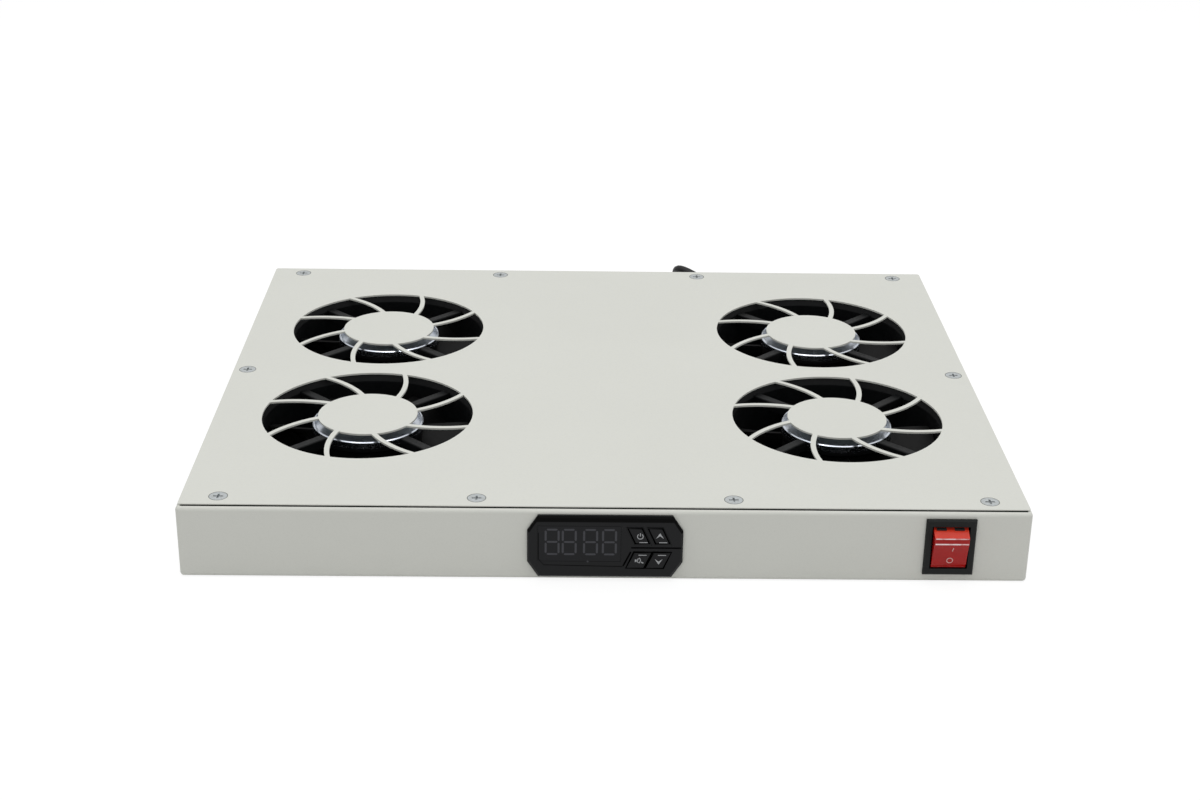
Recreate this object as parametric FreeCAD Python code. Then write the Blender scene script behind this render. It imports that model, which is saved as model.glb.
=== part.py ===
"""Four-fan tray for a server rack: folded sheet-steel tray with a screwed cover,
four 120 mm axial fans, a temperature controller, a lit rocker switch and a mains cord.

Millimetres, +Z up. The origin is the centre of the underside; the front panel faces -Y.
"""

import FreeCAD
import Part
import math
import os
from FreeCAD import Vector

X_AXIS, Y_AXIS, Z_AXIS = Vector(1, 0, 0), Vector(0, 1, 0), Vector(0, 0, 1)

# ---------------------------------------------------------------- driving dimensions
# sheet metal
tray_width = 430.0
tray_depth = 350.0
sheet = 1.0
bend_radius = 2.0  # outside of every fold
flange_width = 20.0  # inward lips that carry the cover
cover_inset_front = 2.4
cover_inset_side = 1.0
cover_corner = 1.5

# fans
fan_size = 120.0
fan_height = 38.0
fan_side_gap = 25.0  # from the tray's side to the fans
fan_row_gap = 10.0  # between the front and the rear fans
fan_row_shift = 4.5  # the fan field sits a little behind the middle
fan_hole_inset = 7.5
fan_flange = 4.5
fan_corner = 6.0
fan_bore_inset = 2.4  # least wall between the bore and the fan's side
fan_wall = 2.0
fan_flare = 3.2  # how much wider the mouth is than the bore
fan_flare_depth = 4.0
strut_width = 5.5
strut_height = 5.5
strut_round = 0.8
strut_drop = 0.4  # below the rim of the motor cup
hub_drop = 2.6  # from the fan's face down to the rim of the motor cup
cup_diameter = 61.0
cup_height = 3.9
cup_wall = 1.5
cup_sheet = 1.0
spider_plate = 2.0
bearing_tube_wall = 1.8
bearing_diameter = 9.0
bearing_width = 4.0
shaft_diameter = 4.0
rotor_gap = 1.5  # under the spider plate
rotor_floor = 2.5  # from the fan's lower face up to the impeller
rotor_diameter = 58.4
rotor_wall = 2.0
blade_count = 7
blade_root_pitch = 52.0  # degrees from the plane of rotation
blade_tip_pitch = 33.0
blade_camber = 0.09
blade_thick = 1.7
blade_tip_gap = 1.0
stator_diameter = 50.0
stator_stack = 11.0
pole_count = 4
pole_slot = 5.0
coil_height = 3.0
coil_wall = 8.0

# punched finger guard
guard_inset = 2.0  # how far the punched ring stays inside the fan's side
guard_disc = 27.4
guard_spokes = 8
spoke_width = 3.0
spoke_start = 12.5  # degrees, at the disc
spoke_mid_sweep = 8.4
spoke_sweep = 16.7

# fasteners
cover_screw_thread = 5.0
cover_screw_head = 9.2
cover_screw_length = 8.0
cover_screw_margin_front = 8.8
cover_screw_margin_side = 8.0
cover_screw_inner_x = 65.0
cover_screw_outer_inset = 20.0
cross_recess_width = 5.0
cross_recess_slot = 1.1
cross_recess_depth = 1.2
weld_nut_across = 8.0
weld_nut_height = 4.0
fan_stud_thread = 4.0
fan_stud_head = 6.0
fan_stud_length = 10.0
fan_nut_across = 7.0
fan_nut_height = 3.2
ear_hole = 5.3
ear_hole_pitch = 30.0
ear_hole_setback = 20.0  # from the front panel to the first hole

# temperature controller
controller_width = 78.5
controller_height = 34.5
controller_z = 19.5
controller_bezel = 2.2
controller_corner_x = 5.5
controller_corner_z = 8.5
controller_edge = 0.9
controller_body_width = 70.6
controller_body_height = 28.6
controller_body_depth = 58.0
controller_wall = 1.6
window_width = 42.0
window_height = 20.0
window_x = -13.0
window_z = 21.4
window_thick = 1.0
window_ledge = 1.0
digit_module_width = 38.0
digit_module_height = 16.0
digit_module_depth = 5.0
board_setback = 6.0  # from the panel's front to the board
board_thick = 1.6
board_margin = 1.2
button_row_low = 8.2
button_row_mid_low = 16.5
button_row_mid_high = 20.8
button_row_high = 30.8
button_thick = 1.8
button_proud = 0.3
button_stem = 2.4
button_travel = 0.5
tact_size = 6.0
tact_height = 1.9
tact_gap = 0.6
clip_thick = 3.0
clip_height = 14.0
clip_length = 24.0
controller_terminal_width = 60.0
controller_terminal_height = 18.0
controller_terminal_depth = 11.0

# rocker switch
switch_inset = 41.0  # from the tray's side to the switch's middle
switch_z = 20.3
switch_bezel_width = 25.5
switch_bezel_height = 31.0
switch_bezel = 1.8
switch_edge = 0.6
switch_body_width = 21.8
switch_body_height = 27.4
switch_body_depth = 19.0
switch_well_width = 19.2
switch_well_height = 23.6
switch_well_depth = 13.0
switch_pivot_depth = 5.5  # behind the bezel's front
rocker_tilt = 15.0  # off centre at either stop
rocker_face = 8.2  # from the pivot out to the ridges
rocker_ridge = 8.6
rocker_end_in = 6.6
rocker_end = 10.2
rocker_root = 11.4
rocker_dish = 0.5
rocker_pin = 3.0
rocker_pin_length = 1.0
blade_tab_width = 6.3
blade_tab_thick = 0.8
blade_tab_length = 9.0
blade_tab_x = 5.0
blade_tab_z = 8.0

# mains lead, bundled behind the tray
cord_diameter = 5.6
relief_head = 14.0
relief_head_depth = 3.0
relief_boot = 11.0
relief_boot_end = 8.0
relief_boot_length = 11.0
relief_neck = 12.5
relief_inside = 9.0
cord_route = [
    (88.0, 189.0, 15.0), (88.0, 207.0, 15.0), (76.5, 221.5, 15.5), (55.3, 229.0, 25.1),
    (55.8, 243.0, 12.0), (50.5, 257.5, 4.5), (36.0, 268.0, 2.8), (17.0, 268.0, 2.8),
    (0.0, 258.0, 2.8), (-13.0, 243.0, 2.8), (-27.0, 231.0, 2.8), (-43.0, 226.4, 2.8),
    (-62.0, 226.4, 2.8),
]
cord_end_route = [
    (-62.0, 181.6, 8.4), (-44.0, 181.6, 8.4), (-27.0, 187.5, 10.5), (-12.0, 191.5, 10.5), (0.0, 191.5, 10.5),
]
hank_run = 112.0  # between the middles of its folds
hank_neck = 2.0  # how far the runs stay together each side of the strap
hank_layers = 2
hank_columns = 2
hank_inner_turn = 16.8  # radius of the inner folds; the outer ones lie round them
tie_width = 12.0
tie_sheet = 1.4
plug_width = 28.0
plug_height = 21.0
plug_length = 30.0
plug_round = 3.0
plug_boot_length = 14.0
plug_boot_end = 9.0
plug_boot_root = 14.0
plug_shroud_width = 23.0
plug_shroud_height = 17.0
plug_shroud_length = 16.0
plug_shroud_wall = 1.6
pin_width = 4.0
pin_height = 2.0
pin_length = 13.0
pin_pitch = 7.0

# wiring and earthing inside
terminal_length = 40.0
terminal_width = 17.0
terminal_height = 12.0
terminal_y = 110.0
terminal_base = 4.0
terminal_ways = 4
terminal_well = 0.56  # of the pitch of its ways
wire_bundle = 5.0
fan_lead = 3.0
wire_height = 8.0
probe_diameter = 6.0
probe_length = 28.0
probe_height = 14.0
probe_y = 20.0
probe_clip_width = 10.0
probe_clip_sheet = 1.2
probe_clip_mouth = 4.2
earth_stud_thread = 4.0
earth_stud_length = 12.0
earth_stud_x = -40.0
earth_stud_y = 150.0

# clearances
fit = 0.15  # between parts that are put together by hand
running = 0.05  # between a shaft and its bearing
rocker_play = 0.3

# ---------------------------------------------------------------- derived places
tray_height = fan_height + 2 * sheet
front_y = -tray_depth / 2
rear_y = tray_depth / 2
side_x = tray_width / 2
fan_pitch_x = tray_width - 2 * fan_side_gap - fan_size
fan_pitch_y = fan_size + fan_row_gap
fan_hole_pitch = fan_size - 2 * fan_hole_inset
fan_bore = fan_size - 2 * fan_bore_inset
guard_radius = fan_size / 2 - guard_inset
switch_x = side_x - switch_inset
cover_screw_outer_x = side_x - cover_screw_outer_inset
cover_underside = tray_height - sheet
flange_underside = cover_underside - sheet
cover_front = front_y + cover_inset_front
cover_half_width = side_x - cover_inset_side
cover_middle = (cover_front + rear_y) / 2
cover_row = (rear_y - cover_front) / 2 - cover_screw_margin_front
cover_screw_places = [
    (x, cover_middle + side * cover_row)
    for side in (-1, 1)
    for x in (-cover_screw_outer_x, -cover_screw_inner_x, cover_screw_inner_x, cover_screw_outer_x)
] + [(side * (cover_half_width - cover_screw_margin_side), cover_middle) for side in (-1, 1)]
fan_places = {
    "front_left": (-fan_pitch_x / 2, fan_row_shift - fan_pitch_y / 2),
    "front_right": (fan_pitch_x / 2, fan_row_shift - fan_pitch_y / 2),
    "rear_left": (-fan_pitch_x / 2, fan_row_shift + fan_pitch_y / 2),
    "rear_right": (fan_pitch_x / 2, fan_row_shift + fan_pitch_y / 2),
}
fan_low = sheet
fan_top = fan_low + fan_height
cup_top = fan_top - hub_drop
spider_top = cup_top - cup_height
spider_low = spider_top - spider_plate
bearing_tube_radius = bearing_diameter / 2 + bearing_tube_wall
rotor_low = fan_low + rotor_floor
rotor_top = spider_low - rotor_gap
rotor_radius = rotor_diameter / 2
tube_low = rotor_low + 2 * rotor_wall + rotor_gap
ear_hole_y = front_y + ear_hole_setback + ear_hole_pitch / 2
cord_exit = Vector(*cord_route[0])
hank_entry = Vector(*cord_route[-1])
hank_outer_turn = hank_inner_turn + (hank_columns - 1) * cord_diameter
hank_y = hank_entry.y - hank_outer_turn
hank_middle = hank_entry.x - hank_run / 2
hank_height = hank_layers * cord_diameter
hank_waist = hank_columns * cord_diameter  # half the width where the strap draws it in
plug_start = Vector(*cord_end_route[-1])


# ---------------------------------------------------------------- small helpers
def box(width, length, height, x=0.0, y=0.0, z=0.0):
    """A box centred on x and y, standing on z."""
    return Part.makeBox(width, length, height, Vector(x - width / 2, y - length / 2, z))


def cylinder(radius, height, x=0.0, y=0.0, z=0.0, axis=Z_AXIS):
    return Part.makeCylinder(radius, height, Vector(x, y, z), axis)


def ring(outer, inner, height, x=0.0, y=0.0, z=0.0):
    return cylinder(outer, height, x, y, z).cut(cylinder(inner, height, x, y, z))


def prism(points, direction):
    """A solid with a flat outline, pushed along a direction."""
    return Part.Face(Part.makePolygon(points + points[:1])).extrude(direction)


def revolved(profile):
    """A solid of revolution about Z from (radius, height) points."""
    points = [Vector(r, 0, z) for r, z in profile]
    return Part.Face(Part.makePolygon(points + points[:1])).revolve(Vector(), Z_AXIS, 360)


def hexagon(across, height, x, y, z):
    corner = across / math.sqrt(3)
    points = [
        Vector(x + corner * math.cos(math.radians(60 * k)), y + corner * math.sin(math.radians(60 * k)), z)
        for k in range(6)
    ]
    return prism(points, Vector(0, 0, height))


def fused(shapes):
    return shapes[0].multiFuse(shapes[1:]).removeSplitter()


def along(shape, axis):
    """The edges of a shape that run along an axis."""
    chosen = []
    for edge in shape.Edges:
        if edge.Curve.TypeId == "Part::GeomLine":
            start, end = edge.Vertexes[0].Point, edge.Vertexes[-1].Point
            if (end - start).normalize().cross(axis).Length < 1e-6:
                chosen.append(edge)
    return chosen


def rounded_box(width, length, height, radius, x=0.0, y=0.0, z=0.0):
    """A box with its upright edges rounded."""
    shape = box(width, length, height, x, y, z)
    return shape.makeFillet(radius, along(shape, Z_AXIS))


def folded_box(width, length, low, high, radius):
    """A folded box with closed corners: every edge rounded."""
    shape = box(width, length, high - low, z=low)
    return shape.makeFillet(radius, shape.Edges)


def polar(radius, degrees, z=0.0):
    return Vector(radius * math.cos(math.radians(degrees)), radius * math.sin(math.radians(degrees)), z)


def write(node, shape):
    shape.exportStep(f"parts/{node}.step")


# ---------------------------------------------------------------- finger guard
def guard_spoke(index, low, height):
    """A curved spoke: a band between two arcs from the disc to the rim."""
    start = spoke_start + index * 360 / guard_spokes
    middle = (guard_disc + guard_radius) / 2
    over = spoke_width  # the band runs on into the disc and the rim
    radii = (guard_disc - over, middle, guard_radius + over)
    sweep_rate = spoke_sweep / (guard_radius - guard_disc)
    turns = (start - sweep_rate * over, start + spoke_mid_sweep, start + spoke_sweep + sweep_rate * over)
    sides = []
    for side in (-0.5, 0.5):
        shift = [math.degrees(side * spoke_width / radius) for radius in radii]
        sides.append([polar(r, turn + s, low) for r, turn, s in zip(radii, turns, shift)])
    left, right = sides
    outline = Part.Wire(
        [
            Part.Arc(*left).toShape(),
            Part.LineSegment(left[2], right[2]).toShape(),
            Part.Arc(right[2], right[1], right[0]).toShape(),
            Part.LineSegment(right[0], left[0]).toShape(),
        ]
    )
    return Part.Face(outline).extrude(Vector(0, 0, height))


def guard_openings(low):
    """What is punched out of a sheet for the four finger guards."""
    window = ring(guard_radius, guard_disc, sheet, z=low)
    window = window.cut(Part.makeCompound([guard_spoke(k, low, sheet) for k in range(guard_spokes)]))
    openings = []
    for x, y in fan_places.values():
        placed = window.copy()
        placed.translate(Vector(x, y, 0))
        openings.append(placed)
    return Part.makeCompound(openings)


# ---------------------------------------------------------------- sheet metal
def countersink(x, y, top, thread, head, clearance, depth):
    """A cone at 45 degrees from the head down to the thread, with its shank hole."""
    cone_height = (head - thread) / 2
    cone = Part.makeCone(thread / 2 + clearance, head / 2 + clearance, cone_height, Vector(x, y, top - cone_height))
    return cone.fuse(cylinder(thread / 2 + clearance, depth, x, y, top - depth))


def cover_screw_holes():
    reach = 2 * sheet
    return Part.makeCompound(
        [
            countersink(x, y, tray_height, cover_screw_thread, cover_screw_head, running, reach)
            for x, y in cover_screw_places
        ]
    )


def base_tray():
    outer = folded_box(tray_width, tray_depth, 0, cover_underside, bend_radius)
    inner = folded_box(
        tray_width - 2 * sheet, tray_depth - 2 * sheet, sheet, flange_underside, bend_radius - sheet
    )
    mouth = rounded_box(
        tray_width - 2 * flange_width,
        tray_depth - 2 * flange_width,
        2 * sheet,
        bend_radius,
        z=flange_underside - sheet / 2,
    )
    tray = outer.cut(inner).cut(mouth)
    panel_cuts = [
        box(controller_body_width + 2 * fit, 4 * sheet, controller_body_height + 2 * fit,
            0, front_y, controller_z - controller_body_height / 2 - fit),
        box(switch_body_width + 2 * fit, 4 * sheet, switch_body_height + 2 * fit,
            switch_x, front_y, switch_z - switch_body_height / 2 - fit),
        cylinder(relief_neck / 2, 4 * sheet, cord_exit.x, rear_y - 2 * sheet, cord_exit.z, Y_AXIS),
    ]
    ear_holes = [
        cylinder(ear_hole / 2, tray_width + 2 * sheet, -side_x - sheet, ear_hole_y + k * ear_hole_pitch / 2,
                 tray_height / 2, X_AXIS)
        for k in (-1, 1)
    ]
    stud_holes = [cylinder(fan_stud_head / 2, sheet, x, y) for x, y in fan_stud_places()]
    stud_holes.append(cylinder(earth_stud_head() / 2, sheet, earth_stud_x, earth_stud_y))
    cuts = panel_cuts + ear_holes + stud_holes
    return tray.cut(Part.makeCompound(cuts)).cut(guard_openings(0)).cut(cover_screw_holes())


def top_cover():
    cover = rounded_box(
        2 * cover_half_width, rear_y - cover_front, sheet, cover_corner, 0, cover_middle, cover_underside
    )
    return cover.cut(guard_openings(cover_underside)).cut(cover_screw_holes())


# ---------------------------------------------------------------- fasteners
def cross_recess(x, y, top):
    arms = [
        box(cross_recess_width, cross_recess_slot, cross_recess_depth, x, y, top - cross_recess_depth),
        box(cross_recess_slot, cross_recess_width, cross_recess_depth, x, y, top - cross_recess_depth),
    ]
    return arms[0].fuse(arms[1])


def cover_screw(x, y):
    blank = countersink(x, y, tray_height, cover_screw_thread, cover_screw_head, 0, cover_screw_length)
    return blank.cut(cross_recess(x, y, tray_height))


def weld_nut(x, y):
    nut = hexagon(weld_nut_across, weld_nut_height, x, y, flange_underside - weld_nut_height)
    reach = 2 * sheet + weld_nut_height
    return nut.cut(countersink(x, y, tray_height, cover_screw_thread, cover_screw_head, running, reach))


def fan_stud_places():
    half = fan_hole_pitch / 2
    return [(x + i * half, y + j * half) for x, y in fan_places.values() for i in (-1, 1) for j in (-1, 1)]


def fan_stud(x, y):
    return cylinder(fan_stud_head / 2, sheet, x, y).fuse(cylinder(fan_stud_thread / 2, fan_stud_length, x, y))


def fan_nut(x, y):
    seat = fan_low + fan_flange
    nut = hexagon(fan_nut_across, fan_nut_height, x, y, seat)
    return nut.cut(cylinder(fan_stud_thread / 2 + running, fan_nut_height, x, y, seat))


def earth_stud_head():
    return fan_stud_head


def earth_stud():
    return cylinder(earth_stud_head() / 2, sheet, earth_stud_x, earth_stud_y).fuse(
        cylinder(earth_stud_thread / 2, earth_stud_length, earth_stud_x, earth_stud_y)
    )


def earth_nut():
    nut = hexagon(fan_nut_across, fan_nut_height, earth_stud_x, earth_stud_y, sheet)
    return nut.cut(cylinder(earth_stud_thread / 2 + running, fan_nut_height, earth_stud_x, earth_stud_y, sheet))


# ---------------------------------------------------------------- fan
def fan_frame():
    """Die-cast frame: two square flanges, a round duct, four struts and the motor's seat."""
    bore = fan_bore / 2
    duct = bore + fan_wall
    frame = rounded_box(fan_size, fan_size, fan_height, fan_corner, z=fan_low)
    waist = box(fan_size, fan_size, fan_height - 2 * fan_flange, z=fan_low + fan_flange)
    frame = frame.cut(waist.cut(cylinder(duct, fan_height, z=fan_low)))
    mouth = revolved(
        [
            (0, fan_low),
            (bore + fan_flare / 2, fan_low),
            (bore, fan_low + fan_flare_depth),
            (bore, fan_top - fan_flare_depth),
            (bore + fan_flare / 2, fan_top),
            (0, fan_top),
        ]
    )
    half = fan_hole_pitch / 2
    bolt_holes = [
        cylinder(fan_stud_thread / 2 + fit, fan_height, i * half, j * half, fan_low)
        for i in (-1, 1)
        for j in (-1, 1)
    ]
    frame = frame.cut(mouth).cut(Part.makeCompound(bolt_holes))
    return frame.multiFuse([fan_spider()]).removeSplitter()


def fan_spider():
    strut_top = cup_top - strut_drop
    reach = fan_bore / 2 + fan_wall / 2
    strut = Part.makeBox(reach, strut_width, strut_height, Vector(0, -strut_width / 2, strut_top - strut_height))
    strut = strut.makeFillet(strut_round, [e for e in along(strut, X_AXIS) if e.Vertexes[0].Z > strut_top - strut_round])
    struts = []
    for k in range(4):
        turned = strut.copy()
        turned.rotate(Vector(), Z_AXIS, 45 + 90 * k)
        struts.append(turned)
    plate = cylinder(cup_diameter / 2, spider_plate, z=spider_low)
    tube = cylinder(bearing_tube_radius, spider_low - tube_low, z=tube_low)
    seat = cylinder(cup_diameter / 2 + fit, fan_height, z=spider_top)
    below = cylinder(cup_diameter / 2 - cup_wall, strut_height, z=spider_low - strut_height)
    spider = fused([*struts, plate]).cut(seat).cut(below)
    spider = spider.fuse(tube)
    return spider.cut(cylinder(bearing_diameter / 2, fan_height, z=tube_low))


def motor_cup():
    """Pressed steel dish on the spider, open upwards, with a rolled rim."""
    outer = cup_diameter / 2
    inner = outer - cup_wall
    rim = cup_wall / 3
    return revolved(
        [
            (0, spider_top),
            (outer, spider_top),
            (outer, cup_top - rim),
            (outer - rim, cup_top),
            (inner + rim, cup_top),
            (inner, cup_top - rim),
            (inner - rim, spider_top + cup_sheet),
            (0, spider_top + cup_sheet),
        ]
    )


def fan_bearings():
    bearing = ring(bearing_diameter / 2, shaft_diameter / 2 + running, bearing_width)
    lower, upper = bearing.copy(), bearing.copy()
    lower.translate(Vector(0, 0, tube_low))
    upper.translate(Vector(0, 0, spider_top - bearing_width))
    return [lower, upper]


def fan_stator():
    """Laminated core with four poles, and the winding above and below it."""
    low = tube_low + bearing_width / 2
    core = ring(stator_diameter / 2, bearing_tube_radius, stator_stack, z=low + coil_height)
    slot = box(stator_diameter, pole_slot, stator_stack, z=low + coil_height)
    slot = slot.cut(cylinder(bearing_tube_radius + coil_wall, stator_stack, z=low + coil_height))
    for k in range(pole_count // 2):
        turned = slot.copy()
        turned.rotate(Vector(), Z_AXIS, 180 * k / (pole_count // 2))
        core = core.cut(turned)
    middle = (stator_diameter / 2 + bearing_tube_radius) / 2
    coils = [
        ring(middle + coil_wall / 2, middle - coil_wall / 2, coil_height, z=z)
        for z in (low, low + coil_height + stator_stack)
    ]
    return [core, *coils]


def blade_section(radius, pitch):
    """A cambered strip on the plane at this distance from the axis."""
    rise = rotor_top - rotor_low
    chord = rise / math.sin(math.radians(blade_root_pitch)) * (radius / rotor_radius) ** 0.35
    camber = blade_camber * chord
    along_chord = Vector(0, math.cos(math.radians(pitch)), math.sin(math.radians(pitch)))
    off_chord = Vector(0, -math.sin(math.radians(pitch)), math.cos(math.radians(pitch)))
    middle = Vector(radius, 0, (rotor_top + rotor_low) / 2)

    def at(share, height):
        return middle + along_chord * (share * chord / 2) + off_chord * height

    upper = [at(-1, blade_thick / 4), at(0, camber + blade_thick / 2), at(1, blade_thick / 4)]
    lower = [at(1, -blade_thick / 4), at(0, camber - blade_thick / 2), at(-1, -blade_thick / 4)]
    return Part.Wire(
        [
            Part.Arc(*upper).toShape(),
            Part.LineSegment(upper[2], lower[0]).toShape(),
            Part.Arc(*lower).toShape(),
            Part.LineSegment(lower[2], upper[0]).toShape(),
        ]
    )


def impeller():
    hub = cylinder(rotor_radius, rotor_top - rotor_low, z=rotor_low)
    hub = hub.cut(cylinder(rotor_radius - rotor_wall, rotor_top - rotor_low, z=rotor_low + rotor_wall))
    boss = cylinder(shaft_diameter / 2 + rotor_wall, tube_low - rotor_gap / 2 - rotor_low, z=rotor_low)
    tip = fan_bore / 2 - blade_tip_gap
    stations = (rotor_radius - rotor_wall / 2, (rotor_radius + tip) / 2, tip + blade_tip_gap)
    pitches = (blade_root_pitch, (blade_root_pitch + blade_tip_pitch) / 2 - 2, blade_tip_pitch)
    blade = Part.makeLoft([blade_section(r, p) for r, p in zip(stations, pitches)], True)
    span = ring(tip, rotor_radius - rotor_wall / 2, rotor_top - rotor_low, z=rotor_low)
    blade = blade.common(span)
    blades = []
    for k in range(blade_count):
        turned = blade.copy()
        turned.rotate(Vector(), Z_AXIS, 360 * k / blade_count)
        blades.append(turned)
    rotor = hub.multiFuse([boss, *blades])
    return rotor.cut(cylinder(shaft_diameter / 2, fan_height, z=rotor_low))


def fan_shaft():
    return cylinder(shaft_diameter / 2, spider_top - rotor_low, z=rotor_low)


# ---------------------------------------------------------------- temperature controller
def octagon(width, height, corner_x, corner_z, y):
    """The controller's outline on the plane at y, as points round its centre."""
    a, b = width / 2, height / 2
    corners = [(-a, -b + corner_z), (-a + corner_x, -b), (a - corner_x, -b), (a, -b + corner_z),
               (a, b - corner_z), (a - corner_x, b), (-a + corner_x, b), (-a, b - corner_z)]
    return [Vector(x, y, controller_z + z) for x, z in corners]


def button_outlines(grow=0.0):
    """Four slanted keys as (x, z) corners: two rows that form a pair of arrows."""
    width, lean_high, lean_low = 8.2, 4.5, -3.9
    rows = {
        "power": (10.6, button_row_mid_high, button_row_high, lean_high),
        "up": (20.8, button_row_mid_high, button_row_high, lean_high),
        "mute": (15.0, button_row_low, button_row_mid_low, lean_low),
        "down": (24.8, button_row_low, button_row_mid_low, lean_low),
    }
    outlines = {}
    for name, (left, low, high, lean) in rows.items():
        side = grow * math.hypot(lean, high - low) / (high - low)
        drift = grow * lean / (high - low)
        outlines[name] = [
            (left - side - drift, high + grow),
            (left + width + side - drift, high + grow),
            (left + width + lean + side + drift, low - grow),
            (left + lean - side + drift, low - grow),
        ]
    return outlines


def key_prism(corners, y, length):
    return prism([Vector(x, y, z) for x, z in corners], Vector(0, length, 0))


def controller_front():
    face_y = front_y - controller_bezel
    outer = octagon(controller_width, controller_height, controller_corner_x, controller_corner_z, front_y)
    step_y = face_y + controller_edge
    body = prism(outer, Vector(0, -(controller_bezel - controller_edge), 0))
    rims = [
        Part.makePolygon(points + points[:1])
        for points in (
            octagon(controller_width, controller_height, controller_corner_x, controller_corner_z, step_y),
            octagon(
                controller_width - 2 * controller_edge,
                controller_height - 2 * controller_edge,
                controller_corner_x,
                controller_corner_z,
                face_y,
            ),
        )
    ]
    body = body.fuse(Part.makeLoft(rims, True, True)).removeSplitter()
    window = box(window_width, window_thick, window_height, window_x, face_y + window_thick / 2,
                 window_z - window_height / 2)
    sight = box(window_width - 2 * window_ledge, 2 * controller_bezel, window_height - 2 * window_ledge,
                window_x, front_y, window_z - window_height / 2 + window_ledge)
    keys = [key_prism(corners, face_y - 1, controller_bezel + 2) for corners in button_outlines(fit).values()]
    return body.cut(Part.makeCompound([window, sight, *keys]))


def controller_window():
    face_y = front_y - controller_bezel
    return box(window_width - 2 * fit, window_thick, window_height - 2 * fit, window_x,
               face_y + window_thick / 2, window_z - window_height / 2 + fit)


def controller_display():
    """Four-digit light-emitting module on the board, behind the window."""
    low = window_z - digit_module_height / 2
    return box(digit_module_width, digit_module_depth, digit_module_height, window_x,
               front_y + board_setback - digit_module_depth / 2, low)


def controller_housing():
    low = controller_z - controller_body_height / 2
    middle_y = front_y + controller_body_depth / 2
    shell = box(controller_body_width, controller_body_depth, controller_body_height, 0, middle_y, low)
    hollow = box(controller_body_width - 2 * controller_wall, controller_body_depth - controller_wall,
                 controller_body_height - 2 * controller_wall, 0, middle_y - controller_wall / 2,
                 low + controller_wall)
    return shell.cut(hollow)


def controller_board():
    """Circuit board with the tactile switches that the keys press."""
    y = front_y + board_setback + board_thick / 2
    inside_width = controller_body_width - 2 * controller_wall
    inside_height = controller_body_height - 2 * controller_wall
    board = box(inside_width - 2 * fit, board_thick, inside_height - 2 * fit, 0, y,
                controller_z - inside_height / 2 + fit)
    tacts = [
        box(tact_size, tact_height, tact_size, x, front_y + board_setback - tact_height / 2, z - tact_size / 2)
        for x, z in key_centres().values()
    ]
    return board.multiFuse(tacts).removeSplitter()


def key_centres():
    return {
        name: (sum(x for x, _ in corners) / 4, sum(z for _, z in corners) / 4)
        for name, corners in button_outlines().items()
    }


def controller_key(name):
    face_y = front_y - controller_bezel - button_proud
    cap = key_prism(button_outlines()[name], face_y, button_thick)
    x, z = key_centres()[name]
    stem_end = front_y + board_setback - tact_height - tact_gap
    start = face_y + button_thick
    return cap.fuse(cylinder(button_stem / 2, stem_end - start, x, start, z, Y_AXIS))


def controller_clips():
    """Two side brackets that draw the controller against the panel."""
    clips = []
    for side in (-1, 1):
        inner = controller_body_width / 2
        foot = box(2 * clip_thick, clip_thick, clip_height, side * (inner + clip_thick),
                   front_y + sheet + clip_thick / 2, controller_z - clip_height / 2)
        arm = box(clip_thick, clip_length, clip_height, side * (inner + clip_thick / 2),
                  front_y + sheet + clip_length / 2, controller_z - clip_height / 2)
        clips.append(foot.fuse(arm).removeSplitter())
    return clips


def controller_terminals():
    back = front_y + controller_body_depth
    block = box(controller_terminal_width, controller_terminal_depth, controller_terminal_height, 0,
                back + controller_terminal_depth / 2, controller_z - controller_terminal_height / 2)
    ways = 8
    pitch = controller_terminal_width / ways
    entries = [
        box(pitch * 0.6, controller_terminal_depth / 2, controller_terminal_height * 0.3,
            -controller_terminal_width / 2 + (k + 0.5) * pitch, back + controller_terminal_depth,
            controller_z - controller_terminal_height * 0.3)
        for k in range(terminal_ways)
    ]
    return block.cut(Part.makeCompound(entries))


# ---------------------------------------------------------------- rocker switch
def switch_pivot():
    return Vector(switch_x, front_y - switch_bezel + switch_pivot_depth, switch_z)


def switch_housing():
    bezel = box(switch_bezel_width, switch_bezel, switch_bezel_height, switch_x, front_y - switch_bezel / 2,
                switch_z - switch_bezel_height / 2)
    rim = [e for e in bezel.Edges if e.Vertexes[0].Y < front_y - switch_bezel + 0.01
           and e.Vertexes[-1].Y < front_y - switch_bezel + 0.01]
    bezel = bezel.makeChamfer(switch_edge, rim)
    body = box(switch_body_width, switch_body_depth, switch_body_height, switch_x,
               front_y + switch_body_depth / 2, switch_z - switch_body_height / 2)
    well_mid = front_y - switch_bezel + switch_well_depth / 2
    well = box(switch_well_width, switch_well_depth, switch_well_height, switch_x, well_mid,
               switch_z - switch_well_height / 2)
    pivot = switch_pivot()
    sockets = cylinder(rocker_pin / 2 + running, switch_well_width + 2 * rocker_pin_length,
                       switch_x - switch_well_width / 2 - rocker_pin_length, pivot.y, pivot.z, X_AXIS)
    return bezel.fuse(body).removeSplitter().cut(well).cut(sockets)


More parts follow.
